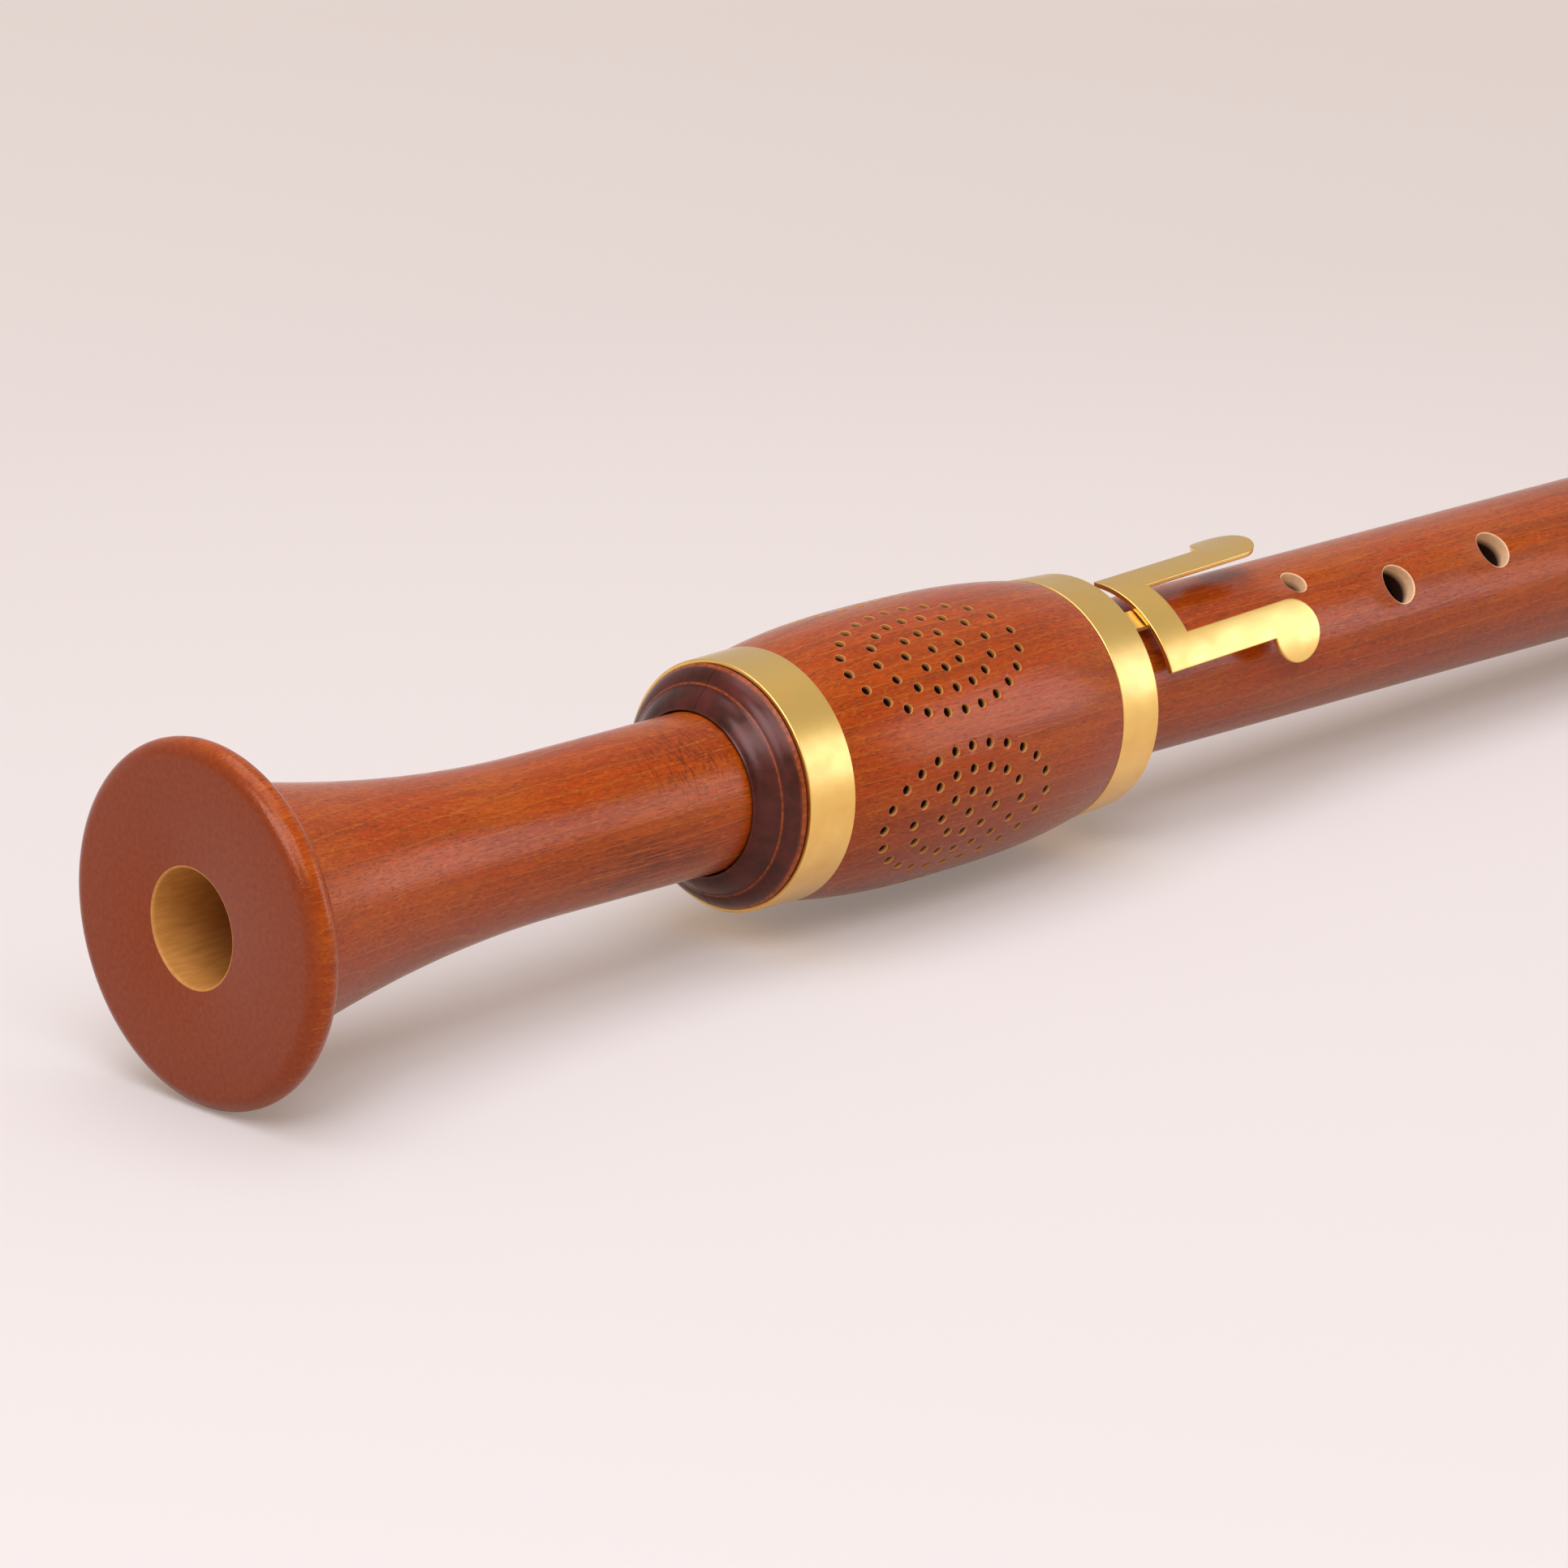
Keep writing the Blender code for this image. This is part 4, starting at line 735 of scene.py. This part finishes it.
def rod(start, end, radius, sides=HOLE_ROUND, number=OUTER):
    """A round bar between two points."""
    start, end = Vector(start), Vector(end)
    bm = bmesh.new()
    bmesh.ops.create_cone(bm, cap_ends=True, segments=sides, radius1=radius, radius2=radius,
                          depth=(end - start).length)
    turn = (end - start).to_track_quat("Z", "X").to_matrix().to_4x4()
    bmesh.ops.transform(bm, matrix=Matrix.Translation((start + end) / 2) @ turn, verts=bm.verts)
    for face in bm.faces:
        face.material_index = number
    return bm


def flat_mesh(outline, half_thickness, number=OUTER):
    """A flat outline of (x, y) points thickened both ways along Z."""
    bm = bmesh.new()
    low = [bm.verts.new((x, y, -half_thickness)) for x, y in outline]
    high = [bm.verts.new((x, y, half_thickness)) for x, y in outline]
    bm.faces.new(list(reversed(low)))
    bm.faces.new(high)
    for index in range(len(outline)):
        after = (index + 1) % len(outline)
        bm.faces.new((low[index], low[after], high[after], high[index]))
    bmesh.ops.recalc_face_normals(bm, faces=bm.faces)
    for face in bm.faces:
        face.material_index = number
    return bm


def side_plate(outline, width, degrees):
    """An outline of (station, height) points thickened across the bore and turned to an angle round it."""
    bm = flat_mesh(outline, width / 2)
    turn = Matrix.Rotation(math.radians(degrees), 4, "X") @ Matrix.Rotation(math.pi / 2, 4, "X")
    bmesh.ops.transform(bm, matrix=turn, verts=bm.verts)
    return bm


def inset(outline, distance):
    """A closed outline moved inwards by the same distance everywhere."""
    points = [Vector(point) for point in outline]
    moved = []
    for index, here in enumerate(points):
        before = (here - points[index - 1]).normalized()
        after = (points[(index + 1) % len(points)] - here).normalized()
        inward = Vector((-before.y - after.y, before.x + after.x)).normalized()
        moved.append(here + inward * distance / max(inward.dot(Vector((-before.y, before.x))), 0.5))
    return moved


def rounded_plate(outline, half_thickness, edge):
    """A flat outline, counted anticlockwise, thickened both ways along Z with rounded edges."""
    steps = [(edge + TOUCH_FLAT_FROM_EDGE, half_thickness)]
    for degrees in (0, 30, 60, 90):
        turn = math.radians(degrees)
        steps.append((edge * (1.0 - math.sin(turn)), half_thickness - edge * (1.0 - math.cos(turn))))
    steps += [(reach, -height) for reach, height in reversed(steps)]
    bm = bmesh.new()
    loops = [[bm.verts.new((x, y, height)) for x, y in inset(outline, reach)] for reach, height in steps]
    for high, low in zip(loops, loops[1:]):
        for index in range(len(outline)):
            after = (index + 1) % len(outline)
            bm.faces.new((high[index], low[index], low[after], high[after]))
    bm.faces.new(loops[0])
    bm.faces.new(list(reversed(loops[-1])))
    bmesh.ops.recalc_face_normals(bm, faces=bm.faces)
    return bm


# Pieces


def body_outside(band_low, band_high, body_end):
    """The turned outline, from the tenon over the shoulder, tube, band and stem to the bell's face."""
    outside = [(body_end, TENON_RADIUS - TENON_CHAMFER), (body_end - TENON_CHAMFER, TENON_RADIUS)]
    outside.append((SHOULDER, TENON_RADIUS))
    shoulder = (SHOULDER - SHOULDER_ROUND, TUBE_RADIUS_AT_TOP - SHOULDER_ROUND)
    outside += arc(shoulder, SHOULDER_ROUND, 0, 90, 3)
    stations = spread(SHOULDER - UNDER_SHOULDER, band_high, 24)
    outside += [(station, stem_radius(station)) for station in stations]
    outside += arc((band_high - BAND_EDGE, BAND_RADIUS - BAND_EDGE), BAND_EDGE, 0, 90, 3)
    outside += arc((band_low + BAND_EDGE, BAND_RADIUS - BAND_EDGE), BAND_EDGE, 90, 180, 3)
    stations = spread(band_low, 2 * BELL_RIM_ROUND, 90)
    outside += [(station, stem_radius(station)) for station in stations]
    rim_centre = BELL_RADIUS - BELL_RIM_ROUND
    outside += arc((BELL_RIM_ROUND, rim_centre), BELL_RIM_ROUND, 0, 180, 20)
    outside += [(0.0, rim_centre - BELL_FACE_FLAT), (0.0, BORE_FOOT_RADIUS + BORE_MOUTH_ROUND)]
    return outside


def key_drill(low, high, radius):
    """A drill along or across the key's own line, from one point to another."""
    turn = Matrix.Rotation(math.radians(KEY_LINE), 3, "X")
    drill = rod(turn @ Vector(low), turn @ Vector(high), radius, number=INNER)
    return finished("key_drill", drill, [STAINED, BARE])


def body_joint():
    """Bell foot and middle in one, with the band, tenon, bore and holes."""
    band_low = BAND_STATION - BAND_WIDTH / 2
    band_high = BAND_STATION + BAND_WIDTH / 2
    body_end = SHOULDER + TENON_LENGTH
    mouth_centre = (BORE_MOUTH_ROUND, BORE_FOOT_RADIUS + BORE_MOUTH_ROUND)
    mouth = arc(mouth_centre, BORE_MOUTH_ROUND, 180, 270, 3)
    inside = [(station, bore_radius(station)) for station in spread(2 * BORE_MOUTH_ROUND, body_end, 30)]
    runs = [(body_outside(band_low, band_high, body_end), OUTER), (mouth, INNER), (inside, INNER)]
    body = finished("turned_body", lathe(runs), [STAINED, BARE, HOLES])

    holes = bmesh.new()
    for station, degrees, radius in FINGER_HOLES:
        drilled(holes, station, degrees, radius, HOLE_EDGE, stem_radius, DRILL_START, HOLE_WALL, HOLE_ROUND)
    cutters = [finished("hole_drills", holes, [STAINED, BARE, HOLES])]
    top = (KEY_HOLE_STATION, 0, CUTTER_HEIGHT)
    cutters.append(key_drill((KEY_HOLE_STATION, 0, DRILL_START), top, KEY_HOLE_RADIUS))
    cutters.append(key_drill((KEY_HOLE_STATION, 0, SEAT_POCKET_FLOOR), top, SEAT_POCKET_RADIUS))
    axle_ends = [(BAND_STATION, side * AXLE_HOLE_REACH, TOUCH_AXLE_HEIGHT) for side in (-1, 1)]
    cutters.append(key_drill(*axle_ends, AXLE_HOLE_RADIUS))
    slot_low, slot_high = band_low - LEVER_SLOT_PAST_BAND, band_high + LEVER_SLOT_PAST_BAND
    slot = [(slot_low, LEVER_SLOT_FLOOR), (slot_high, LEVER_SLOT_FLOOR)]
    slot += [(slot_high, CUTTER_HEIGHT), (slot_low, CUTTER_HEIGHT)]
    cutters.append(finished("lever_slot", side_plate(slot, 2 * LEVER_SLOT_HALF, KEY_LINE), [STAINED, BARE]))
    carved(body, cutters)
    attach(body, "body")
    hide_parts("body_joint")


def collar_halves():
    """Cone, sharp step and bead, in two halves that meet at a hairline crack."""
    outside = [(COLLAR_SPIGOT_END, COLLAR_BORE), (COLLAR_SPIGOT_END, COLLAR_SPIGOT_RADIUS)]
    outside.append((COLLAR_END, COLLAR_SPIGOT_RADIUS))
    worn = {len(outside) + place: share for place, share in enumerate(COLLAR_RIM_WEAR)}
    outside.append((COLLAR_END, COLLAR_BEAD_RADIUS - COLLAR_EDGE))
    outside += [(COLLAR_END - COLLAR_EDGE, COLLAR_BEAD_RADIUS), (COLLAR_STRIP_START, COLLAR_STRIP_RADIUS)]
    bead_top = (COLLAR_STRIP_START - COLLAR_BEAD_TOP[0], COLLAR_STRIP_RADIUS - COLLAR_BEAD_TOP[1])
    bead_foot = (COLLAR_CONE_END + COLLAR_EDGE, COLLAR_CONE_RADIUS + COLLAR_EDGE)
    outside += swelling_arc(bead_top, bead_foot, COLLAR_BEAD_ROUND, 16)
    worn.update({len(outside) - 1 + place: share for place, share in enumerate(COLLAR_CORNER_WEAR)})
    outside += [(COLLAR_CONE_END + along, COLLAR_CONE_RADIUS + out) for along, out in COLLAR_CORNER]
    top, foot = outside[-1], (COLLAR_START + COLLAR_CONE_FOOT[0], COLLAR_BORE + COLLAR_CONE_FOOT[1])
    for share in spread(0.1, 0.95, 8):
        station = top[0] + (foot[0] - top[0]) * share
        radius = top[1] + (foot[1] - top[1]) * share
        outside.append((station - COLLAR_CONE_SWELL * math.sin(math.pi * share), radius))
    bore_edge = (COLLAR_START + COLLAR_BORE_ROUND, COLLAR_BORE + COLLAR_BORE_ROUND)
    outside += arc(bore_edge, COLLAR_BORE_ROUND, 110, 270, 4)
    half_crack = math.degrees(COLLAR_CRACK / 2 / COLLAR_CONE_RADIUS)
    for name, node, start in (("collar_front", "collar_half_front", COLLAR_SPLIT),
                              ("collar_back", "collar_half_back", COLLAR_SPLIT + 180.0)):
        turned = lathe([(outside, OUTER)], start + half_crack, start + 180.0 - half_crack, ROUND // 2, worn)
        half = finished(name, turned, [DARK])
        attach(half, "body")
        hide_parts(node)


def oval_points(long_axis, short_axis, count):
    """Points spaced evenly by their distance along an oval."""
    fine = 720
    path = [(long_axis * math.cos(2 * math.pi * k / fine), short_axis * math.sin(2 * math.pi * k / fine))
            for k in range(fine + 1)]
    lengths = [0.0]
    for first, second in zip(path, path[1:]):
        lengths.append(lengths[-1] + math.dist(first, second))
    points = []
    index = 0
    for number in range(count):
        target = lengths[-1] * number / count
        while lengths[index + 1] < target:
            index += 1
        points.append(path[index])
    return points


def barrel_profile():
    """The sleeve's outside, which steps in under its rings, and its inside, wider between its lips."""
    upper_seat = [radius - RING_WALL - SEAT_GAP for radius in UPPER_RING_RADII]
    lower_seat = [radius - RING_WALL - SEAT_GAP for radius in LOWER_RING_RADII]
    outside = [(BARREL_END, BARREL_UPPER_BORE), (BARREL_END, upper_seat[1])]
    outside.append((UPPER_RING_START - SEAT_GAP, upper_seat[0]))
    stations = spread(UPPER_RING_START - BARREL_PAST_RING, LOWER_RING_END + BARREL_PAST_RING, 70)
    outside += [(station, barrel_radius(station)) for station in stations]
    outside += [(LOWER_RING_END + SEAT_GAP, lower_seat[1]), (BARREL_START, lower_seat[0])]
    lower_lip = BARREL_START + BARREL_LIP_LENGTH
    upper_lip = BARREL_END - BARREL_LIP_LENGTH
    inside = [(BARREL_START, BARREL_LOWER_BORE), (lower_lip, BARREL_LOWER_BORE)]
    inside.append((lower_lip + BARREL_SLOPE_LENGTH, BARREL_HOLLOW))
    inside += [(upper_lip - BARREL_SLOPE_LENGTH, BARREL_HOLLOW), (upper_lip, BARREL_UPPER_BORE)]
    return [(outside, OUTER), (inside, INNER)]


def fontanelle():
    """The bellied sleeve with its rosettes of drilled holes."""
    sleeve = finished("pierced_barrel", lathe(barrel_profile()), [STAINED, DRILLED])
    places = [(0.0, 0.0)]
    for number, count in enumerate(ROSETTE_OVALS, start=1):
        places += oval_points(number * ROSETTE_LONG_STEP, number * ROSETTE_SHORT_STEP, count)
    middle_radius = barrel_radius(ROSETTE_STATION)
    drills = bmesh.new()
    for rosette in range(ROSETTE_COUNT):
        middle = FIRST_ROSETTE + 360.0 * rosette / ROSETTE_COUNT
        for along, across in places:
            degrees = middle + math.degrees(across / middle_radius)
            drilled(drills, ROSETTE_STATION + along, degrees, DRILL_RADIUS, DRILL_EDGE, barrel_radius,
                    ROSETTE_DRILL_START, INNER, DRILL_ROUND)
    carved(sleeve, [finished("rosette_drills", drills, [STAINED, DRILLED])])
    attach(sleeve, "fontanelle")
    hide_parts("fontanelle_barrel")


def brass_ring(name, node, body, start, end, radii):
    """A turned ring of even wall with rounded lips. radii are the outside at its start and its end.

    Points close beside the lips keep the wide face flat under smooth shading.
    """
    first, last = radii
    beside = RING_LIP + RING_FLAT_FROM_LIP
    outside = [(end, last - beside)]
    outside += arc((end - RING_LIP, last - RING_LIP), RING_LIP, 0, 90, 4)
    outside += [(end - beside, last), (start + beside, first)]
    outside += arc((start + RING_LIP, first - RING_LIP), RING_LIP, 90, 180, 4)
    outside += [(start, first - beside), (start, first - RING_WALL), (end, last - RING_WALL)]
    ring = finished(name, lathe([(outside, OUTER)]), [BRASS])
    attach(ring, body)
    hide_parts(node)


def touch_plate():
    """The butterfly: a bar across the tube, two arms towards the head, and a lobe outside each arm's end."""
    half = [(TOUCH_FOOT_EDGE, TOUCH_HALF_WIDTH)]
    meets = math.degrees(math.asin((TOUCH_HALF_WIDTH - LOBE_OFFSET) / LOBE_RADIUS))
    half += arc((LOBE_STATION, LOBE_OFFSET), LOBE_RADIUS, 180 - meets, -90, 48)
    half += [(TOUCH_FOOT_EDGE + TOUCH_BAR_WIDTH, LOBE_OFFSET - LOBE_RADIUS)]
    outline = [(x, -y) for x, y in half] + list(reversed(half))
    bm = rounded_plate(outline, SHEET / 2, TOUCH_EDGE)
    # The flat plate is cut in strips, so that it bends evenly
    widest = LOBE_OFFSET + LOBE_RADIUS
    for across in spread(-widest, widest, TOUCH_STRIPS)[1:-1]:
        geometry = list(bm.verts) + list(bm.edges) + list(bm.faces)
        bmesh.ops.bisect_plane(bm, geom=geometry, plane_co=(0, across, 0), plane_no=(0, 1, 0), dist=1e-5)
    middle_radius = TOUCH_BEND_RADIUS + SHEET / 2
    bend_centre = TOUCH_INNER_RADIUS - TOUCH_BEND_RADIUS - TOUCH_AXLE_HEIGHT
    for vert in bm.verts:
        angle = vert.co.y / middle_radius
        radius = middle_radius + vert.co.z
        vert.co = (vert.co.x - BAND_STATION, radius * math.sin(angle), radius * math.cos(angle) + bend_centre)
    hinge = Matrix.Rotation(math.radians(KEY_LINE), 4, "X")
    hinge = hinge @ Matrix.Translation((BAND_STATION, 0.0, TOUCH_AXLE_HEIGHT))
    bmesh.ops.transform(bm, matrix=hinge @ Matrix.Rotation(math.radians(-TOUCH_RISE), 4, "Y"), verts=bm.verts)
    plate = finished("butterfly_touch", bm, [BRASS])
    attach(plate, "touch")
    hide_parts("touch_plate")


def head_profile():
    """The head's outside, from its end over the waist and the socket's swell to the ring, and its inside."""
    end_centre = (HEAD_END - HEAD_END_ROUND, HEAD_RADIUS - HEAD_END_ROUND)
    outside = arc(end_centre, HEAD_END_ROUND, 0, 90, 8)
    labium_start = WINDOW_STATION - LABIUM_LENGTH
    outside += [(station, HEAD_RADIUS) for station in spread(HEAD_END - UNDER_HEAD_END, labium_start, 12)]
    swell_end = SOCKET_RING_END + SEAT_GAP
    for station in spread(labium_start - UNDER_LABIUM, swell_end, 40):
        waist_share = min((labium_start - station) / HEAD_WAIST_LENGTH, 1.0)
        radius = HEAD_RADIUS + (HEAD_WAIST - HEAD_RADIUS) * waist_share
        swell = max(1.0 - (station - swell_end) / SOCKET_SWELL_LENGTH, 0.0)
        outside.append((station, radius + (SOCKET_RADIUS - SEAT_GAP - HEAD_WAIST) * swell ** 2))
    ring_seat = SOCKET_RADIUS - RING_WALL - SEAT_GAP
    outside += [(swell_end, ring_seat), (HEAD_START, ring_seat)]
    inside = [(HEAD_START, SOCKET_BORE), (SOCKET_END, SOCKET_BORE)]
    inside += [(station, HEAD_BORE) for station in spread(SOCKET_END, HEAD_END, 8)]
    return [(outside, OUTER), (inside, INNER)]


def windway_cutter(block_radius, around):
    """The windway: a shallow curved channel along the top of the block."""
    roof = block_radius + WINDWAY_HEIGHT
    inner = block_radius - WINDWAY_HEIGHT
    roof_spread = math.degrees(math.asin(WINDOW_HALF_WIDTH / roof))
    inner_spread = math.degrees(math.asin(WINDOW_HALF_WIDTH / inner))
    section = arc((0, 0), roof, 90 - roof_spread, 90 + roof_spread, 16)
    section += arc((0, 0), inner, 90 + inner_spread, 90 - inner_spread, 16)
    windway = flat_mesh(section, (HEAD_END - WINDOW_STATION) / 2, INNER)
    turn = Matrix(((0, 0, 1), (1, 0, 0), (0, 1, 0))).to_4x4()
    place = Matrix.Translation(((HEAD_END + BLOCK_START) / 2, 0, 0))
    bmesh.ops.transform(windway, matrix=around @ place @ turn, verts=windway.verts)
    return finished("windway_cutter", windway, [STAINED, BARE])


def window_cutter():
    """The window, with the labium's slope up from its sharp lip."""
    lip = HEAD_BORE + LABIUM_EDGE
    above = HEAD_RADIUS + WINDOW_CUTTER_ABOVE
    run = LABIUM_LENGTH * (above - lip) / (HEAD_RADIUS - lip)
    window = [(BLOCK_START, WINDOW_FLOOR), (BLOCK_START, above), (WINDOW_STATION - run, above)]
    window += [(WINDOW_STATION, lip), (WINDOW_STATION, WINDOW_FLOOR)]
    return finished("window_cutter", side_plate(window, 2 * WINDOW_HALF_WIDTH, HOLE_LINE), [STAINED, BARE])


def beak_cutter(around, material):
    """A thick rod across the head that hollows the beak's underside."""
    tip = Vector((HEAD_END, HEAD_RADIUS - BEAK_TIP_THICKNESS))
    heel = Vector((HEAD_END - BEAK_CUT_LENGTH, -HEAD_RADIUS))
    chord = tip - heel
    below = math.sqrt(BEAK_CUT_RADIUS ** 2 - (chord.length / 2) ** 2)
    centre = (tip + heel) / 2 + Vector((chord.y, -chord.x)) / chord.length * below
    ends = [around @ Vector((centre.x, side * BEAK_CUTTER_HALF, centre.y)) for side in (-1, 1)]
    return finished("beak_cutter", rod(*ends, BEAK_CUT_RADIUS, BEAK_CUTTER_ROUND), [material])


def head_joint():
    """The head with its socket, window, labium, windway and beak, and the cedar block."""
    head = finished("turned_head", lathe(head_profile()), [STAINED, BARE])
    block_radius = HEAD_BORE - BLOCK_GAP
    block = finished("cedar_block", rod((BLOCK_START, 0, 0), (HEAD_END, 0, 0), block_radius, ROUND), [CEDAR])
    around = Matrix.Rotation(math.radians(HOLE_LINE), 4, "X")
    carved(head, [windway_cutter(block_radius, around), window_cutter(), beak_cutter(around, STAINED)])
    carved(block, [beak_cutter(around, CEDAR)])
    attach(head, "head")
    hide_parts("head_joint")
    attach(block, "block")
    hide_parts("block")


def tenon_cork():
    """The cork wrapping of the tenon, sanded round at both edges."""
    outside = arc((CORK_END - CORK_EDGE, CORK_OUTSIDE - CORK_EDGE), CORK_EDGE, 0, 90, 3)
    outside += arc((CORK_START + CORK_EDGE, CORK_OUTSIDE - CORK_EDGE), CORK_EDGE, 90, 180, 3)
    outside += [(CORK_START, CORK_INSIDE), (CORK_END, CORK_INSIDE)]
    cork = finished("cork_wrap", lathe([(outside, OUTER)]), [CORK])
    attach(cork, "body")
    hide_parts("tenon_cork")


def finish_small_pieces():
    """The key's inner pieces keep their CAD shape and take their real finish."""
    finishes = {"touch_lever": BRASS, "pad_flap": BRASS, "flap_saddle": BRASS, "saddle_screw_left": BRASS,
                "saddle_screw_right": BRASS, "tone_hole_seat": BRASS, "touch_axle": STEEL, "flap_axle": STEEL,
                "flap_spring": STEEL, "leather_pad": LEATHER}
    for node, material in finishes.items():
        mesh = frame["nodes"][node].data
        mesh.materials.clear()
        mesh.materials.append(material)


# Studio


def camera():
    data = bpy.data.cameras.new("camera")
    data.lens = CAMERA_LENS
    data.sensor_width = 36.0
    data.clip_end = 20.0
    view = bpy.data.objects.new("camera", data)
    view.location = CAMERA_PLACE
    view.rotation_euler = (math.radians(90.0 + CAMERA_PITCH), 0.0, math.radians(CAMERA_HEADING - 90.0))
    bpy.context.scene.collection.objects.link(view)
    bpy.context.scene.camera = view


def softbox(name, place, target, size, power, colour):
    data = bpy.data.lights.new(name, "AREA")
    data.shape = "RECTANGLE"
    data.size, data.size_y = size
    data.energy = power
    data.color = linear(colour)[:3]
    lamp = bpy.data.objects.new(name, data)
    lamp.location = place
    lamp.rotation_euler = (Vector(target) - Vector(place)).to_track_quat("-Z", "Y").to_euler()
    lamp.visible_camera = False
    bpy.context.scene.collection.objects.link(lamp)
    return lamp


def seen_directly(tree):
    """1 for what the camera, gloss and clear pieces see, and 0 for the light that falls on things."""
    camera_ray, glossy_ray, clear_ray = (add(tree, "ShaderNodeLightPath", give=f"Is {kind} Ray")
                                         for kind in ("Camera", "Glossy", "Transmission"))
    seen = add(tree, "ShaderNodeMath", {0: camera_ray, 1: glossy_ray}, operation="MAXIMUM")
    return add(tree, "ShaderNodeMath", {0: seen, 1: clear_ray}, operation="MAXIMUM")


def room():
    """An even room: warm in the light that it sheds, and near white where it is seen."""
    world = bpy.data.worlds.new("room")
    world.use_nodes = True
    tree = world.node_tree
    seen = seen_directly(tree)
    background = tree.nodes["Background"]
    colour = wash(tree, linear("#FFDEC6"), seen, 1.0, linear("#F4F1EF"))
    tree.links.new(colour, background.inputs["Color"])
    strength = add(tree, "ShaderNodeMapRange", {"Value": seen, "To Min": ROOM_SHED, "To Max": ROOM_SEEN})
    tree.links.new(strength, background.inputs["Strength"])
    bpy.context.scene.world = world


def matt_white_card():
    """The table's matt card. It glows a little for the eye, more and bluer far from the lamps."""
    material, tree, shader = new_material("matt_white_card")
    shader.inputs["Base Color"].default_value = linear("#CDC9C9")
    shader.inputs["Roughness"].default_value = 0.9
    place = add(tree, "ShaderNodeTexCoord", give="Object")
    away = add(tree, "ShaderNodeVectorMath", {0: place}, give="Value", operation="LENGTH")
    far = add(tree, "ShaderNodeMapRange", {"Value": away, "From Min": GLOW_START, "From Max": GLOW_END})
    glow = wash(tree, linear("#FFF3E6"), far, 1.0, linear("#F0F6FF"))
    tree.links.new(glow, shader.inputs["Emission Color"])
    strength = add(tree, "ShaderNodeMapRange", {"Value": far, "To Min": GLOW_NEAR, "To Max": GLOW_FAR})
    strength = add(tree, "ShaderNodeMath", {0: seen_directly(tree), 1: strength}, operation="MULTIPLY")
    tree.links.new(strength, shader.inputs["Emission Strength"])
    return material


def table():
    """A plain pale table, level with the lowest point of the instrument."""
    mesh = bpy.data.meshes.new("table")
    bm = bmesh.new()
    bmesh.ops.create_grid(bm, x_segments=1, y_segments=1, size=TABLE_HALF)
    bm.to_mesh(mesh)
    bm.free()
    top = bpy.data.objects.new("table", mesh)
    top.location.z = CAD_BOX[0][2]
    bpy.context.scene.collection.objects.link(top)
    mesh.materials.append(matt_white_card())


def studio():
    """The room, the table, two high softboxes, and two cards that only the gloss picks up."""
    bpy.context.scene.view_settings.view_transform = "Standard"
    room()
    table()
    for lamp in SOFTBOXES:
        softbox(*lamp)
    for card in GLOSS_CARDS:
        softbox(*card).visible_diffuse = False


STAINED = stained_pearwood()
BARE = bare_pearwood()
HOLES = hole_pearwood()
DRILLED = drilled_pearwood()
DARK = dark_pearwood()
BRASS = satin_brass()
STEEL = drawn_steel()
LEATHER = pad_leather()
CORK = sanded_cork()
CEDAR = planed_cedar()

camera()
studio()
body_joint()
collar_halves()
fontanelle()
brass_ring("lower_brass_ring", "lower_ring", "fontanelle", BARREL_START, LOWER_RING_END, LOWER_RING_RADII)
brass_ring("upper_brass_ring", "upper_ring", "fontanelle", UPPER_RING_START, BARREL_END, UPPER_RING_RADII)
brass_ring("socket_brass_ring", "socket_ring", "head", HEAD_START, SOCKET_RING_END, SOCKET_RING_RADII)
touch_plate()
head_joint()
tenon_cork()
finish_small_pieces()
